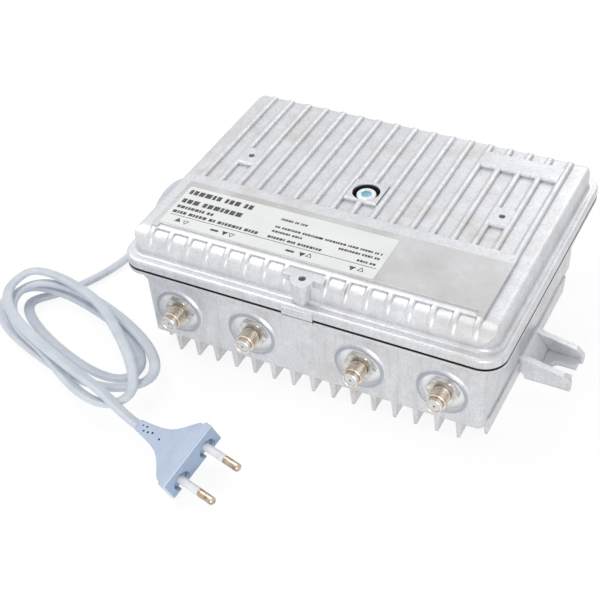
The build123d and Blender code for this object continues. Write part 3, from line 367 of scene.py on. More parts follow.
# Screwed coaxial ports: a turned barrel with a plain collar, a run-out groove and a fine thread.
# Places along the barrel are the frame's Y, and the others are radii.
portBarrel = {
    "places": {"port_1_barrel": -70.6, "port_2_barrel": -28.8, "port_3_barrel": 28.8, "port_4_barrel": 70.6},
    "axisZ": 27.5, "tip": -78.05, "collarEnd": -75.85, "threadStart": -75.05, "threadEnd": -68.15,
    "shoulderFront": -63.45, "shoulderBack": -61.45, "tailEnd": -56.45,
    "bore": 3.0, "lip": 0.3, "collar": 4.0, "collarEdge": 0.35, "groove": 3.6, "crest": 4.76, "root": 4.3,
    "neck": 4.5, "shoulder": 6.6, "tail": 3.6, "pitch": 0.794, "flankShares": (0.34, 0.5, 0.84), "steps": 40}


def barrelProfile():
    b = portBarrel
    rise, top, fall = (share * b["pitch"] for share in b["flankShares"])
    points = [(b["bore"] + b["lip"], b["tip"]), (b["collar"] - b["collarEdge"], b["tip"]),
              (b["collar"], b["tip"] + b["collarEdge"]), (b["collar"], b["collarEnd"] - b["collarEdge"]),
              (b["groove"], b["collarEnd"]), (b["groove"], b["threadStart"])]
    y = b["threadStart"]
    while y + b["pitch"] < b["threadEnd"]:
        points += [(b["root"], y), (b["crest"], y + rise), (b["crest"], y + top), (b["root"], y + fall)]
        y += b["pitch"]
    points += [(b["neck"], y), (b["neck"], b["shoulderFront"]), (b["shoulder"], b["shoulderFront"]),
               (b["shoulder"], b["shoulderBack"]), (b["tail"], b["shoulderBack"]), (b["tail"], b["tailEnd"]),
               (b["bore"], b["tailEnd"]), (b["bore"], b["tip"] + b["lip"])]
    return points


def makeBarrel(name, x):
    profile = barrelProfile()
    axis = Vector((x, 0, portBarrel["axisZ"])) * mm
    selectNothing()
    bpy.ops.mesh.primitive_plane_add(size=mm)
    barrel = bpy.context.object
    barrel.name = name
    bpy.ops.object.mode_set(mode="EDIT")
    bpy.ops.mesh.select_all(action="SELECT")
    bpy.ops.mesh.merge(type="CENTER")
    bpy.ops.transform.translate(value=(axis.x, profile[0][1] * mm, axis.z + profile[0][0] * mm))
    for near, far in zip(profile, profile[1:] + profile[:1]):
        move = (0, (far[1] - near[1]) * mm, (far[0] - near[0]) * mm)
        bpy.ops.mesh.extrude_vertices_move(TRANSFORM_OT_translate={"value": move})
    bpy.ops.mesh.select_all(action="SELECT")
    bpy.ops.mesh.spin(steps=portBarrel["steps"], angle=2 * math.pi, center=axis, axis=(0, 1, 0))
    bpy.ops.mesh.select_all(action="SELECT")
    bpy.ops.mesh.remove_doubles(threshold=0.01 * mm)
    bpy.ops.mesh.normals_make_consistent(inside=False)
    bpy.ops.object.mode_set(mode="OBJECT")
    smoothByAngle(barrel, 25)
    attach(barrel, "base")
    return barrel


barrels = []
for node, x in portBarrel["places"].items():
    barrels.append(makeBarrel("threaded_" + node, x))
    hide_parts(node)
print("port barrels turned")


# Type label: a white film on a flat of the lid, with a rule, port arrows and greeked lines for its words.
# A line, bar or rule is its left end, right end, middle and height. An arrow is its place, way and filling.
typeLabel = {
    "low": (-83.4, -54.35), "high": (31.0, -23.7), "bottom": 71.5, "top": 71.64, "ink": 71.66, "corner": 1.2,
    "lines": [(-81.4, -44.0, -27.95, 3.5), (-81.4, -45.5, -35.35, 3.3), (-81.4, -61.0, -40.35, 2.1),
              (-81.4, -34.0, -44.55, 2.1), (-28.4, -13.5, -30.45, 1.5), (-28.4, -2.5, -36.65, 1.5),
              (-28.4, -12.0, -40.15, 1.5), (-28.4, 0.6, -44.65, 1.7), (-6.5, 28.75, -36.65, 1.5),
              (7.0, 28.75, -40.15, 1.5), (18.5, 28.75, -44.65, 1.5)],
    "words": [6, 3, 8, 4, 5, 2, 7], "letterShares": [0.5, 0.66, 0.82, 0.98], "letterStep": 5,
    "letterGapShare": 0.2, "wordGapShare": 0.5, "leastShare": 0.6,
    "rule": (-81.5, 29.4, -47.05, 0.35), "bars": [(-56.6, -52.2, -50.75, 1.4), (-15.6, -11.2, -50.75, 1.4)],
    "arrows": [(-75.0, 1, True), (-70.6, -1, False), (-48.75, -1, True), (-45.0, -1, False), (-7.1, -1, True),
               (-3.5, 1, False), (18.75, -1, True), (23.1, 1, False)],
    "arrowY": -50.55, "arrowRadius": 2.0, "arrowLine": 0.4}


def printBar(left, right, y, height):
    middle = (left + right) / 2 * mm
    bpy.ops.mesh.primitive_plane_add(size=1, location=(middle, y * mm, typeLabel["ink"] * mm))
    if bpy.context.object.mode != "EDIT":
        bpy.ops.object.mode_set(mode="EDIT")
    bpy.ops.transform.resize(value=((right - left) * mm, height * mm, 1), center_override=(middle, y * mm, 0))


def printLine(row, left, right, y, height):
    # letters of four widths, in words of uneven length
    words, shares = typeLabel["words"], typeLabel["letterShares"]
    x, word, letters = left, row, 0
    while x < right - typeLabel["leastShare"] * height:
        wide = height * shares[(letters * typeLabel["letterStep"] + row) % len(shares)]
        printBar(x, min(x + wide, right), y, height)
        letters += 1
        x += wide + height * typeLabel["letterGapShare"]
        if letters >= words[word % len(words)]:
            x, word, letters = x + height * typeLabel["wordGapShare"], word + 1, 0


def printArrow(x, way, filled):
    bpy.ops.mesh.primitive_circle_add(
        vertices=3, radius=typeLabel["arrowRadius"] * mm, fill_type="NGON",
        location=(x * mm, typeLabel["arrowY"] * mm, typeLabel["ink"] * mm),
        rotation=(0, 0, 0 if way > 0 else math.pi))
    if not filled:
        bpy.ops.mesh.inset(thickness=typeLabel["arrowLine"] * mm)
        bpy.ops.mesh.delete(type="FACE")


def makeLabelFilm():
    low, high = typeLabel["low"], typeLabel["high"]
    bottom, top = typeLabel["bottom"], typeLabel["top"]
    selectNothing()
    middle = [(low[k] + high[k]) / 2 * mm for k in (0, 1)]
    bpy.ops.mesh.primitive_cube_add(size=1, location=(*middle, (bottom + top) / 2 * mm))
    film = bpy.context.object
    film.name = "typeLabelFilm"
    film.scale = [(high[k] - low[k]) * mm for k in (0, 1)] + [(top - bottom) * mm]
    settle(film)
    bpy.ops.object.mode_set(mode="EDIT")
    bpy.ops.mesh.select_mode(type="EDGE")
    bpy.ops.mesh.select_all(action="DESELECT")
    bpy.ops.object.mode_set(mode="OBJECT")
    for edge in film.data.edges:        # only the four upright edges are rounded
        a, b = (film.data.vertices[v].co for v in edge.vertices)
        edge.select = abs(a.z - b.z) > (top - bottom) / 2 * mm
    bpy.ops.object.mode_set(mode="EDIT")
    bpy.ops.mesh.bevel(offset=typeLabel["corner"] * mm, segments=4)
    bpy.ops.object.mode_set(mode="OBJECT")
    return film


def makeLabelPrint():
    selectNothing()
    printBar(*typeLabel["rule"])
    ink = bpy.context.object
    ink.name = "typeLabelPrint"
    for row, line in enumerate(typeLabel["lines"]):
        printLine(row, *line)
    for bar in typeLabel["bars"]:
        printBar(*bar)
    for arrow in typeLabel["arrows"]:
        printArrow(*arrow)
    bpy.ops.object.mode_set(mode="OBJECT")
    return settle(ink)


labelFilm, labelPrint = makeLabelFilm(), makeLabelPrint()
for piece in (labelFilm, labelPrint):
    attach(piece, "lid")
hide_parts("type_label")
print("label printed")


# Lid screw: where its axis stands, and how far the dye in its socket reaches
lidScrew = {"y": 5.45, "dyeReach": 2.9, "dyeBlur": 0.1}


# Cast aluminium, blasted: satin light grey with clouds, faint warm stains, fine pits, and edges painted
# bright as worn skin and as painted highlights.
# Sizes are in millimetres, and places are the frame's.
# the edge colour is also a painted highlight on the port rims and painted light on the nut seats; the
# crevice, cone and joint colours are painted shade
castFinish = {
    "light": "#E0E1E5", "dark": "#D4D5D9", "warm": "#C2B6A8", "streak": "#A3A4AA", "pit": "#85868A",
    "edge": "#F2F3F5", "plate": "#B9B8B5", "speck": "#C0C1C6", "creviceShade": "#7C7D84", "coneShade": "#8A93A6",
    "gapShadow": "#2A2120", "metallic": 0.62, "roughness": 0.36,
    "cloudSize": 9.0, "stainSize": 26.0, "streakSize": 2.2, "streakStretch": 0.16, "grainSize": 1.0,
    "pitSize": 3.4, "grainDepth": 0.1, "edgeRadius": 0.8, "creviceReach": 1.6,
    "plateEnd": -19.6, "plateTop": 70.9,
    "coneMiddle": 11.9, "coneHalf": 0.8, "rimMiddle": 10.6, "rimHalf": 0.35, "seat": 11.0, "seatFront": -64.0,
    "jointZ": 52.1, "jointHalf": 0.2, "pocketRadius": 7.3, "pocketZ": 67.6, "pocketHalf": 3.0}


def portReach(tree, spot):
    # distance from the axis of the nearest port: the four axes mirror in X, two by two
    places = [abs(x) for x in portBarrel["places"].values()]
    far, near = max(places), min(places)
    span = spot.outputs["X"]
    for shift in ((far + near) / 2, (far - near) / 2):
        folded = addNode(tree, "Math", {"operation": "ABSOLUTE"}, {0: span})
        span = addNode(tree, "Math", {"operation": "SUBTRACT", 1: shift * mm},
                       {0: folded.outputs[0]}).outputs[0]
    rise = addNode(tree, "Math", {"operation": "SUBTRACT", 1: portBarrel["axisZ"] * mm},
                   {0: spot.outputs["Z"]})
    offset = addNode(tree, "CombineXYZ", links={0: span, 1: rise.outputs[0]})
    return addNode(tree, "VectorMath", {"operation": "LENGTH"}, {0: offset.outputs[0]}).outputs["Value"]


def screwReach(tree, place):
    # distance from the lid screw's axis
    centred = addNode(tree, "VectorMath", {"operation": "SUBTRACT", 1: (0, lidScrew["y"] * mm, 0)},
                      {0: place})
    flat = addNode(tree, "VectorMath", {"operation": "MULTIPLY", 1: (1, 1, 0)}, {0: centred.outputs[0]})
    return addNode(tree, "VectorMath", {"operation": "LENGTH"}, {0: flat.outputs[0]}).outputs["Value"]


def castAluminium(name, finish):
    material, tree, place = startMaterial(name)
    spot = addNode(tree, "SeparateXYZ", links={0: place})
    normal = addNode(tree, "NewGeometry").outputs["Normal"]

    clouds = addNode(tree, "TexNoise",
                     {"Scale": metre / finish["cloudSize"], "Detail": 4.0, "Roughness": 0.65},
                     {"Vector": place})
    cloudShare = addNode(tree, "MapRange", {"From Min": 0.36, "From Max": 0.64},
                         {"Value": clouds.outputs["Fac"]})
    stains = addNode(tree, "TexNoise",
                     {"Scale": metre / finish["stainSize"], "Detail": 5.0, "Roughness": 0.6},
                     {"Vector": place})
    stainShare = addNode(tree, "MapRange",
                         {"From Min": 0.56, "From Max": 0.76, "To Max": 0.7},
                         {"Value": stains.outputs["Fac"]})
    layers = [(cloudShare, "dark"), (stainShare, "warm")]

    # drag marks of the mould run up the walls and leave the flat tops clean
    facing = addNode(tree, "SeparateXYZ", links={0: normal})
    level = addNode(tree, "Math", {"operation": "ABSOLUTE"}, {0: facing.outputs["Z"]})
    wall = addNode(tree, "MapRange",
                   {"From Min": 0.2, "From Max": 0.7, "To Min": 1.0, "To Max": 0.0},
                   {"Value": level.outputs[0]})
    drawn = addNode(tree, "Mapping", {"Scale": (1.0, 1.0, finish["streakStretch"])}, {"Vector": place})
    streaks = addNode(tree, "TexNoise",
                      {"Scale": metre / finish["streakSize"], "Detail": 3.0}, {"Vector": drawn.outputs[0]})
    streakShare = addNode(tree, "MapRange",
                          {"From Min": 0.5, "From Max": 0.8, "To Max": 0.4},
                          {"Value": streaks.outputs["Fac"]})
    streakShare = addNode(tree, "Math", {"operation": "MULTIPLY"},
                          {0: streakShare.outputs[0], 1: wall.outputs[0]})
    layers.append((streakShare, "streak"))

    # the flat that carries the label is left as cast, duller than the ribbed field behind it
    ahead = addNode(tree, "Math", {"operation": "LESS_THAN", 1: finish["plateEnd"] * mm},
                    {0: spot.outputs["Y"]})
    above = addNode(tree, "Math", {"operation": "GREATER_THAN", 1: finish["plateTop"] * mm},
                    {0: spot.outputs["Z"]})
    plate = addNode(tree, "Math", {"operation": "MULTIPLY"}, {0: ahead.outputs[0], 1: above.outputs[0]})
    dull = addNode(tree, "MapRange",
                   {"From Min": 0.35, "From Max": 0.65, "To Min": 0.35, "To Max": 0.9},
                   {"Value": stains.outputs["Fac"]})
    plateShare = addNode(tree, "Math", {"operation": "MULTIPLY"}, {0: plate.outputs[0], 1: dull.outputs[0]})
    pits = addNode(tree, "TexVoronoi", {"Scale": metre / finish["pitSize"]}, {"Vector": place})
    pitShare = addNode(tree, "MapRange",
                       {"From Min": 0.03, "From Max": 0.09, "To Min": 0.6, "To Max": 0.0},
                       {"Value": pits.outputs["Distance"]})
    layers += [(plateShare, "plate"), (pitShare, "pit")]

    # rounded arrises catch the light, and their colour is painted bright, partly as rubbed skin and partly as
    # a painted highlight
    softNormal = addNode(tree, "Bevel", {"samples": 4, "Radius": finish["edgeRadius"] * mm}).outputs[0]
    turned = addNode(tree, "VectorMath", {"operation": "DOT_PRODUCT"}, {0: softNormal, 1: normal})
    edgeWearAndHighlight = addNode(tree, "MapRange",
                   {"From Min": 0.8, "From Max": 0.98, "To Min": 0.75, "To Max": 0.0},
                   {"Value": turned.outputs["Value"]})
    grain = addNode(tree, "TexNoise",
                    {"Scale": metre / finish["grainSize"], "Detail": 3.0, "Roughness": 0.7},
                    {"Vector": place})
    speckShare = addNode(tree, "MapRange",
                         {"From Min": 0.48, "From Max": 0.66, "To Max": 0.7}, {"Value": grain.outputs["Fac"]})
    layers += [(edgeWearAndHighlight, "edge"), (speckShare, "speck")]

    # painted shade and highlight: the turned cone round each port is painted bluish grey as the shade of a
    # groove, and the rim inside it painted bright as a highlight
    reach = portReach(tree, spot)
    front = addNode(tree, "Math", {"operation": "LESS_THAN", 1: finish["seatFront"] * mm},
                    {0: spot.outputs["Y"]})
    cone = addNode(tree, "Math",
                   {"operation": "COMPARE", 1: finish["coneMiddle"] * mm, 2: finish["coneHalf"] * mm},
                   {0: reach})
    highlightRim = addNode(tree, "Math",
                  {"operation": "COMPARE", 1: finish["rimMiddle"] * mm, 2: finish["rimHalf"] * mm},
                  {0: reach})
    seat = addNode(tree, "Math", {"operation": "LESS_THAN", 1: finish["seat"] * mm}, {0: reach})
    paintedRingShadeAndLight = []
    for ring, strength in ((cone, 0.6), (highlightRim, 0.8), (seat, 0.8)):
        share = addNode(tree, "Math", {"operation": "MULTIPLY"}, {0: ring.outputs[0], 1: front.outputs[0]})
        paintedRingShadeAndLight.append(addNode(tree, "Math", {"operation": "MULTIPLY", 1: strength},
                                  {0: share.outputs[0]}))
    layers += [(paintedRingShadeAndLight[0], "coneShade"), (paintedRingShadeAndLight[1], "edge")]

    # painted shade: corners and crevices are painted grey where little ambient light reaches them; painted
    # light: the seats of the port nuts are painted bright to lift their shadow
    shelter = addNode(tree, "AmbientOcclusion", {"samples": 6, "Distance": finish["creviceReach"] * mm})
    creviceShadeShare = addNode(tree, "MapRange",
                        {"From Min": 0.25, "From Max": 0.9, "To Min": 0.7, "To Max": 0.0},
                        {"Value": shelter.outputs["AO"]})
    layers += [(creviceShadeShare, "creviceShade"), (paintedRingShadeAndLight[2], "edge")]

    # painted shadow: the base's top face in the lid joint and the wall of the screw's pocket are painted dark
    # as the shade of the gap and of the recess
    joint = addNode(tree, "Math",
                    {"operation": "COMPARE", 1: finish["jointZ"] * mm, 2: finish["jointHalf"] * mm},
                    {0: spot.outputs["Z"]})
    inside = addNode(tree, "Math",
                     {"operation": "LESS_THAN", 1: finish["pocketRadius"] * mm}, {0: screwReach(tree, place)})
    sunk = addNode(tree, "Math",
                   {"operation": "COMPARE", 1: finish["pocketZ"] * mm, 2: finish["pocketHalf"] * mm},
                   {0: spot.outputs["Z"]})
    pocket = addNode(tree, "Math", {"operation": "MULTIPLY"}, {0: inside.outputs[0], 1: sunk.outputs[0]})
    gapAndPocketShade = addNode(tree, "Math", {"operation": "MAXIMUM"}, {0: joint.outputs[0], 1: pocket.outputs[0]})
    layers.append((addNode(tree, "Math", {"operation": "MULTIPLY", 1: 0.9}, {0: gapAndPocketShade.outputs[0]}),
                   "gapShadow"))

    rough = addNode(tree, "MapRange",
                    {"To Min": finish["roughness"] - 0.1, "To Max": finish["roughness"] + 0.16},
                    {"Value": grain.outputs["Fac"]})
    pitted = addNode(tree, "Math",
                     {"operation": "MULTIPLY_ADD", 1: -0.6},
                     {0: pitShare.outputs[0], 2: grain.outputs["Fac"]})
    bump = addNode(tree, "Bump", {"Strength": 0.5, "Distance": finish["grainDepth"] * mm},
                   {"Height": pitted.outputs[0], "Normal": softNormal})
    closeMaterial(tree, {"Metallic": finish["metallic"]}, {
        "Base Color": layColours(tree, finish, layers), "Roughness": rough.outputs[0],
        "Normal": bump.outputs[0]})
    return material


# Bright metals: a plated or bare skin with fine turning marks, dull in small clouds, with painted shade in
# its corners
metalSkin = {"cornerShadeReach": 0.9, "edgeRadius": 0.25, "markDepth": 0.03}
metalFinishes = {
    # warm nickel over brass: mirror-like highlights, with brown painted shade in the thread
    "bronzedNickelPlate": {"light": "#EFE7DC", "dark": "#D2C4B3", "cornerShade": "#5E4A38", "cloudSize": 6.0,
                           "markSize": 0.35, "across": (1, 0.1, 1), "roughness": 0.2},
    # turned bright steel: clean facets, outlined by dark painted shade
    "machinedSteelNut": {"light": "#E9E7E4", "dark": "#B9B6B2", "cornerShade": "#4E4B49", "cloudSize": 3.0,
                         "markSize": 0.5, "across": (1, 0.2, 1), "roughness": 0.3},
    # blue-passivated zinc: a cold white shine, with the blue thread-lock dye still in the socket
    "dyedZincPlate": {"light": "#F1F5F7", "dark": "#D5DDE2", "cornerShade": "#93A2AB", "dye": "#CDE7F0",
                      "cloudSize": 2.0, "markSize": 0.4, "across": (1, 1, 0.2), "roughness": 0.26},
    # folded tinplate: soft grey mirror, drawn along the sheet
    "tinnedSheetSteel": {"light": "#CFCFCB", "dark": "#A6A7A4", "cornerShade": "#6F706C", "cloudSize": 9.0,
                         "markSize": 0.6, "across": (0.15, 1, 1), "roughness": 0.3},
    # bare brass: small yellow glints in the ports
    "brassContact": {"light": "#D2B070", "dark": "#A07F45", "cornerShade": "#5F4A26", "cloudSize": 1.5,
                     "markSize": 0.4, "across": (1, 1, 0.2), "roughness": 0.28},
    # thin nickel on brass: brownish silver, with long streaks of light
    "nickelBrassPin": {"light": "#CFC3B2", "dark": "#9A866C", "cornerShade": "#6E5A42", "cloudSize": 3.0,
                       "markSize": 0.4, "across": (0.2, 1, 1), "roughness": 0.2}}


def brightMetal(name, finish):
    material, tree, place = startMaterial(name)
    clouds = addNode(tree, "TexNoise", {"Scale": metre / finish["cloudSize"], "Detail": 3.0},
                     {"Vector": place})
    cloudShare = addNode(tree, "MapRange", {"From Min": 0.35, "From Max": 0.7},
                         {"Value": clouds.outputs["Fac"]})
    # painted shade: corners and thread roots are painted dark where little ambient light reaches them
    shelter = addNode(tree, "AmbientOcclusion", {"samples": 6, "Distance": metalSkin["cornerShadeReach"] * mm})
    cornerShadeShare = addNode(tree, "MapRange",
                       {"From Min": 0.3, "From Max": 0.9, "To Min": 0.8, "To Max": 0.0},
                       {"Value": shelter.outputs["AO"]})
    layers = [(cloudShare, "dark"), (cornerShadeShare, "cornerShade")]
    if "dye" in finish:
        reach, blur = lidScrew["dyeReach"], lidScrew["dyeBlur"]
        layers.append((addNode(tree, "MapRange", {
            "From Min": (reach - blur) * mm, "From Max": (reach + blur) * mm, "To Min": 1.0, "To Max": 0.0},
            {"Value": screwReach(tree, place)}), "dye"))
    drawn = addNode(tree, "Mapping", {"Scale": finish["across"]}, {"Vector": place})
    marks = addNode(tree, "TexNoise",
                    {"Scale": metre / finish["markSize"], "Detail": 2.0}, {"Vector": drawn.outputs[0]})
    rough = addNode(tree, "MapRange",
                    {"To Min": finish["roughness"] - 0.06, "To Max": finish["roughness"] + 0.14},
                    {"Value": marks.outputs["Fac"]})
    softNormal = addNode(tree, "Bevel", {"samples": 4, "Radius": metalSkin["edgeRadius"] * mm})
    bump = addNode(tree, "Bump", {"Strength": 0.25, "Distance": metalSkin["markDepth"] * mm},
                   {"Height": marks.outputs["Fac"], "Normal": softNormal.outputs[0]})
    closeMaterial(tree, {"Metallic": 1.0}, {
        "Base Color": layColours(tree, finish, layers), "Roughness": rough.outputs[0],
        "Normal": bump.outputs[0]})
    return material


# Moulded and coated plastics: an even colour with faint flow clouds and a fine spark-eroded grain
plasticSkin = {"grainDepth": 0.05, "pocketReach": 2.0, "faceAhead": (0.93, 0.98), "rimAhead": 0.74,
               "rimHalf": 0.14}
plasticFinishes = {
    # extruded soft vinyl: pale, semi-gloss, with long soft highlights
    "softGreyFlexJacket": {"light": "#DCE2EA", "dark": "#D0D7E1", "cloudSize": 9.0, "grainSize": 0.8,
                           "roughness": 0.34, "bump": 0.15},
    # the same run inside the case, a little drier
    "greyInletJacket": {"light": "#DCE2EA", "dark": "#D0D7E1", "cloudSize": 9.0, "grainSize": 0.8,
                        "roughness": 0.36, "bump": 0.15},
    # moulded vinyl: light blue-grey, with painted shade on its face and in its pockets, and a painted
    # highlight on its rim
    "blueGreyPlugVinyl": {"light": "#C2D0E6", "dark": "#B6C5DD", "face": "#9DB2D0", "highlightRim": "#F0F4FA",
                          "pocketShade": "#46526A", "way": tuple(plugMatrix().to_3x3() @ Vector((1, 0, 0))),
                          "cloudSize": 9.0, "grainSize": 0.6, "roughness": 0.4, "bump": 0.3},
    # moulded nylon in white, grey or green: even and half matt
    "whitePinSleeve": {"light": "#F0F1F3", "dark": "#DFE1E5", "cloudSize": 4.0, "grainSize": 0.5,
                       "roughness": 0.4, "bump": 0.1},
    "greyGlandNylon": {"light": "#A4A8AE", "dark": "#8C9097", "cloudSize": 5.0, "grainSize": 0.5,
                       "roughness": 0.45, "bump": 0.25},
    "paleInsulator": {"light": "#DADDDE", "dark": "#C6CACC", "cloudSize": 2.0, "grainSize": 0.4,
                      "roughness": 0.4, "bump": 0.15},
    "whiteAdjusterNylon": {"light": "#EDEBE4", "dark": "#D9D6CC", "cloudSize": 2.0, "grainSize": 0.4,
                           "roughness": 0.38, "bump": 0.15},
    "blueAdjusterBody": {"light": "#2F5FA8", "dark": "#244C8A", "cloudSize": 3.0, "grainSize": 0.4,
                         "roughness": 0.42, "bump": 0.2},
    "greenTerminalNylon": {"light": "#3F8A55", "dark": "#317446", "cloudSize": 3.0, "grainSize": 0.4,
                           "roughness": 0.42, "bump": 0.2},
    # cured rubber: brownish black that shows only a dull sheen
    "blackSealRubber": {"light": "#1C1716", "dark": "#100D0C", "cloudSize": 3.0, "grainSize": 0.7,
                        "roughness": 0.6, "bump": 0.5},
    # pressed epoxy and fired ferrite: matt dark greys with a coarse skin
    "blackMouldedEpoxy": {"light": "#2B2B2D", "dark": "#1B1B1D", "cloudSize": 3.0, "grainSize": 0.35,
                          "roughness": 0.55, "bump": 0.4},
    "sinteredFerrite": {"light": "#4A494B", "dark": "#333234", "cloudSize": 4.0, "grainSize": 0.4,
                        "roughness": 0.62, "bump": 0.5},
    # polyester tape, shrink sleeve and wire jacket: glossy skins over wound or round shapes
    "amberWindingTape": {"light": "#D8A93A", "dark": "#B98A26", "cloudSize": 5.0, "grainSize": 1.2,
                         "roughness": 0.3, "bump": 0.2},
    "navyCapacitorSleeve": {"light": "#26324F", "dark": "#1B2540", "cloudSize": 5.0, "grainSize": 0.8,
                            "roughness": 0.3, "bump": 0.15},
    "brownWireJacket": {"light": "#6A4429", "dark": "#55351F", "cloudSize": 3.0, "grainSize": 0.5,
                        "roughness": 0.4, "bump": 0.15},
    # clear lens and glass tube, shown as smooth pale bodies with sharp highlights
    "greenPilotLens": {"light": "#63B56B", "dark": "#4A9A55", "cloudSize": 2.0, "grainSize": 0.5,
                       "roughness": 0.2, "bump": 0.1},
    "fuseGlassTube": {"light": "#D9DEDD", "dark": "#B8BFBE", "cloudSize": 2.0, "grainSize": 0.6,
                      "roughness": 0.12, "bump": 0.05},
    # coated polyester film: the whitest surface, smooth and slightly shiny
    "whiteLabelFilm": {"light": "#F8F9F9", "dark": "#F1F3F3", "cloudSize": 14.0, "grainSize": 0.6,
                       "roughness": 0.32, "bump": 0.05}}


def faceLayers(tree, finish):
    # painted shade and highlight: the face round the pins is painted darker as shade, its rounded rim paler
    # as a highlight, and its pockets darkest as shade:
    # how far a surface looks the pins' way, as a cosine, tells the face and the rim apart
    normal = addNode(tree, "NewGeometry").outputs["Normal"]
    ahead = addNode(tree, "VectorMath", {"operation": "DOT_PRODUCT", 1: finish["way"]}, {0: normal})
    least, full = plasticSkin["faceAhead"]
    faceShare = addNode(tree, "MapRange",
                        {"From Min": least, "From Max": full, "To Max": 0.85},
                        {"Value": ahead.outputs["Value"]})
    rimBand = addNode(tree, "Math",
                      {"operation": "COMPARE", 1: plasticSkin["rimAhead"], 2: plasticSkin["rimHalf"]},
                      {0: ahead.outputs["Value"]})
    rimHighlightShare = addNode(tree, "Math", {"operation": "MULTIPLY", 1: 0.85}, {0: rimBand.outputs[0]})
    shelter = addNode(tree, "AmbientOcclusion", {"samples": 6, "Distance": plasticSkin["pocketReach"] * mm})
    pocketShadeShare = addNode(tree, "MapRange",
                        {"From Min": 0.2, "From Max": 0.85, "To Min": 0.85, "To Max": 0.0},
                        {"Value": shelter.outputs["AO"]})
    return [(faceShare, "face"), (rimHighlightShare, "highlightRim"), (pocketShadeShare, "pocketShade")]


def mouldedPlastic(name, finish):
    material, tree, place = startMaterial(name)
    clouds = addNode(tree, "TexNoise", {"Scale": metre / finish["cloudSize"], "Detail": 3.0},
                     {"Vector": place})
    cloudShare = addNode(tree, "MapRange", {"From Min": 0.35, "From Max": 0.7},
                         {"Value": clouds.outputs["Fac"]})
    layers = [(cloudShare, "dark")] + (faceLayers(tree, finish) if "face" in finish else [])
    grain = addNode(tree, "TexNoise", {"Scale": metre / finish["grainSize"], "Detail": 2.0},
                    {"Vector": place})
    rough = addNode(tree, "MapRange",
                    {"To Min": finish["roughness"] - 0.05, "To Max": finish["roughness"] + 0.1},
                    {"Value": grain.outputs["Fac"]})
    bump = addNode(tree, "Bump", {"Strength": finish["bump"], "Distance": plasticSkin["grainDepth"] * mm},
                   {"Height": grain.outputs["Fac"]})
    closeMaterial(tree, {"IOR": 1.5}, {
        "Base Color": layColours(tree, finish, layers), "Roughness": rough.outputs[0],
        "Normal": bump.outputs[0]})
    return material


# Glass-epoxy circuit board: green mask, paler over the copper runs, with tinned pads on a 2.54 mm grid
boardFinish = {"light": "#1E6B40", "copper": "#3B8A57", "pad": "#C9C7BD", "cellSize": 7.04, "grid": 2.54,
               "runPitch": 0.16, "runEdge": (0.07, 0.085), "padRadius": (0.62, 0.7), "bareShare": 0.8,
               "runDepth": 0.05, "roughness": 0.3}


def circuitBoard(name, finish):
    material, tree, place = startMaterial(name)
    runs = addNode(tree, "TexVoronoi",
                   {"distance": "CHEBYCHEV", "feature": "F1", "Scale": metre / finish["cellSize"]},
                   {"Vector": place})
    band = addNode(tree, "Math", {"operation": "PINGPONG", 1: finish["runPitch"]},
                   {0: runs.outputs["Distance"]})
    ground, copper = finish["runEdge"]
    run = addNode(tree, "MapRange", {"From Min": ground, "From Max": copper}, {"Value": band.outputs[0]})
    grid = finish["grid"] * mm
    tiles = addNode(tree, "VectorMath", {"operation": "SNAP", 1: (grid, grid, grid)}, {0: place})
    inside = addNode(tree, "VectorMath", {"operation": "SUBTRACT"}, {0: place, 1: tiles.outputs[0]})
    centred = addNode(tree, "VectorMath",
                      {"operation": "SUBTRACT", 1: (grid / 2, grid / 2, 0)}, {0: inside.outputs[0]})
    flat = addNode(tree, "VectorMath", {"operation": "MULTIPLY", 1: (1, 1, 0)}, {0: centred.outputs[0]})
    reach = addNode(tree, "VectorMath", {"operation": "LENGTH"}, {0: flat.outputs[0]})
    inner, outer = finish["padRadius"]
    dot = addNode(tree, "MapRange",
                  {"From Min": inner * mm, "From Max": outer * mm, "To Min": 1.0, "To Max": 0.0},
                  {"Value": reach.outputs["Value"]})
    chosen = addNode(tree, "TexWhiteNoise", links={0: tiles.outputs[0]})
    some = addNode(tree, "Math", {"operation": "GREATER_THAN", 1: finish["bareShare"]},
                   {0: chosen.outputs["Value"]})
    pad = addNode(tree, "Math", {"operation": "MULTIPLY"}, {0: dot.outputs[0], 1: some.outputs[0]})
    bump = addNode(tree, "Bump",
                   {"Strength": 0.4, "Distance": finish["runDepth"] * mm}, {"Height": run.outputs[0]})
    closeMaterial(tree, {"Roughness": finish["roughness"]}, {
        "Base Color": layColours(tree, finish, [(run, "copper"), (pad, "pad")]), "Normal": bump.outputs[0],
        "Metallic": pad.outputs[0]})
    return material


# Black screen ink, broken into upright strokes so that the lines read as small type
inkFinish = {"light": "#151518", "film": "#F1F1F1", "strokePitch": 1.15, "millimetreScale": 314,
             "roughness": 0.4}


def strokedInk(name, finish):
    material, tree, place = startMaterial(name)
    # at the millimetre scale, a wave texture's bands are a millimetre apart
    strokes = addNode(tree, "TexWave", {
        "wave_type": "BANDS", "bands_direction": "X",
        "Scale": finish["millimetreScale"] / finish["strokePitch"], "Distortion": 3.0,
        "Detail": 2.0, "Detail Scale": 2.0}, {"Vector": place})
    gap = addNode(tree, "MapRange",
                  {"From Min": 0.05, "From Max": 0.2, "To Min": 0.3, "To Max": 0.0},
                  {"Value": strokes.outputs["Fac"]})
    closeMaterial(tree, {"Roughness": finish["roughness"]},
                  {"Base Color": layColours(tree, finish, [(gap, "film")])})
    return material


finishes = {name: brightMetal(name, finish) for name, finish in metalFinishes.items()}
finishes.update({name: mouldedPlastic(name, finish) for name, finish in plasticFinishes.items()})
finishes["blastedCastAluminium"] = castAluminium("blastedCastAluminium", castFinish)
finishes["greenCircuitBoard"] = circuitBoard("greenCircuitBoard", boardFinish)
finishes["blackScreenInk"] = strokedInk("blackScreenInk", inkFinish)

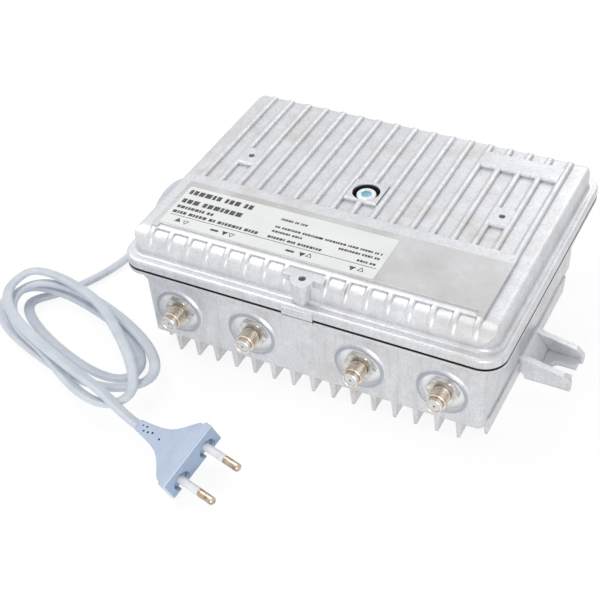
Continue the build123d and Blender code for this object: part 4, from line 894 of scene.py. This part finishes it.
ports = (1, 2, 3, 4)
adjusters = ("gain", "slope", "return_gain")
nodeFinishes = {
    "blastedCastAluminium": ["base_housing", "lid"],
    "blackSealRubber": ["lid_gasket", "lid_screw_seal", "cable_gland_seal"],
    "dyedZincPlate": ["lid_screw"],
    "machinedSteelNut": [f"port_{port}_nut" for port in ports] + ["terminal_screws", "board_screws"],
    "paleInsulator": [f"port_{port}_insulator" for port in ports],
    "brassContact": [f"port_{port}_contact" for port in ports],
    "greyGlandNylon": ["cable_gland_body", "cable_gland_nut", "cable_gland_locknut"],
    "nickelBrassPin": ["plug_pins"],
    "greyInletJacket": ["mains_cord_inlet"],
    "greenCircuitBoard": ["amplifier_board", "power_board", "return_board"],
    "blackMouldedEpoxy": ["amplifier_module", "voltage_regulator"],
    "tinnedSheetSteel": ["left_filter_can", "right_filter_can", "return_filter_can", "fuse_clips",
                         "board_links"],
    "navyCapacitorSleeve": ["filter_capacitors"],
    "fuseGlassTube": ["mains_fuse"],
    "greenTerminalNylon": ["mains_terminal_block"],
    "brownWireJacket": ["mains_wires"],
    "greenPilotLens": ["pilot_light"],
    "sinteredFerrite": ["transformer_core"],
    "amberWindingTape": ["transformer_winding"],
    "blueAdjusterBody": [f"{adjuster}_adjuster_body" for adjuster in adjusters],
    "whiteAdjusterNylon": [f"{adjuster}_adjuster_knob" for adjuster in adjusters]}
madeFinishes = {
    "softGreyFlexJacket": [flex], "blueGreyPlugVinyl": [plugPiece], "whitePinSleeve": [pinSleeves],
    "bronzedNickelPlate": barrels, "whiteLabelFilm": [labelFilm], "blackScreenInk": [labelPrint]}


def dress(piece, material):
    if not piece.material_slots:
        piece.data.materials.append(material)
    for place in piece.material_slots:
        place.material = material


for finish, names in nodeFinishes.items():
    for name in names:
        dress(nodes[name], finishes[finish])
for finish, pieces in madeFinishes.items():
    for piece in pieces:
        dress(piece, finishes[finish])
print("finishes laid on")


# Floor and light: a white sweep and three soft boxes aimed at the case, with places and sizes in metres
studio = {
    "world": 0.5, "floorSize": 6.0, "floorDrop": 0.2, "paper": 0.9, "glow": 1.08, "glowShare": 0.8,
    "target": (0, 0, 0.03),
    "lamps": {"keySoftbox": {"place": (-0.45, 0.05, 0.85), "size": 0.6, "watts": 2.75},
              "fillSoftbox": {"place": (0.4, -0.95, 0.3), "size": 0.6, "watts": 4.3},
              "backSoftbox": {"place": (0.1, 0.85, 0.5), "size": 0.5, "watts": 1.4}}}


def seenDirectly(tree):
    # 1 for rays from the camera, and for those that a shiny or clear surface sends on
    rays = addNode(tree, "LightPath")
    shown = rays.outputs["Is Camera Ray"]
    for kind in ("Is Glossy Ray", "Is Transmission Ray"):
        shown = addNode(tree, "Math", {"operation": "MAXIMUM"}, {0: shown, 1: rays.outputs[kind]}).outputs[0]
    return shown


def makeFloor():
    selectNothing()
    bpy.ops.mesh.primitive_plane_add(size=studio["floorSize"], location=(0, 0, -studio["floorDrop"] * mm))
    floor = settle(bpy.context.object)
    floor.name = "studioFloor"
    sweep = bpy.data.materials.new("paperSweep")
    sweep.use_nodes = True
    tree = sweep.node_tree
    tree.nodes.clear()
    paper = addNode(tree, "BsdfDiffuse", {"Color": (studio["paper"],) * 3 + (1,)})
    glow = addNode(tree, "Emission", {"Color": (1, 1, 1, 1), "Strength": studio["glow"]})
    lit = addNode(tree, "MixShader", {0: studio["glowShare"]}, {1: paper.outputs[0], 2: glow.outputs[0]})
    mixed = addNode(tree, "MixShader", links={0: seenDirectly(tree), 1: paper.outputs[0], 2: lit.outputs[0]})
    addNode(tree, "OutputMaterial", links={"Surface": mixed.outputs[0]})
    floor.data.materials.append(sweep)


def makeWorld():
    world = bpy.data.worlds.new("studioWorld")
    world.use_nodes = True
    scene.world = world
    tree = world.node_tree
    tree.nodes.clear()
    soft = addNode(tree, "Background", {"Color": (1, 1, 1, 1), "Strength": studio["world"]})
    white = addNode(tree, "Background", {"Color": (1, 1, 1, 1), "Strength": 1.0})
    mixed = addNode(tree, "MixShader", links={0: seenDirectly(tree), 1: soft.outputs[0], 2: white.outputs[0]})
    addNode(tree, "OutputWorld", links={"Surface": mixed.outputs[0]})


def addLamp(name, place, size, watts):
    selectNothing()
    bpy.ops.object.light_add(type="AREA", location=place)
    lamp = bpy.context.object
    lamp.name = name
    lamp.data.shape = "SQUARE"
    lamp.data.size = size
    lamp.data.energy = watts
    lamp.rotation_euler = (Vector(studio["target"]) - Vector(place)).to_track_quat("-Z", "Y").to_euler()


makeFloor()
makeWorld()
for name, lamp in studio["lamps"].items():
    addLamp(name, **lamp)
print("stage lit")
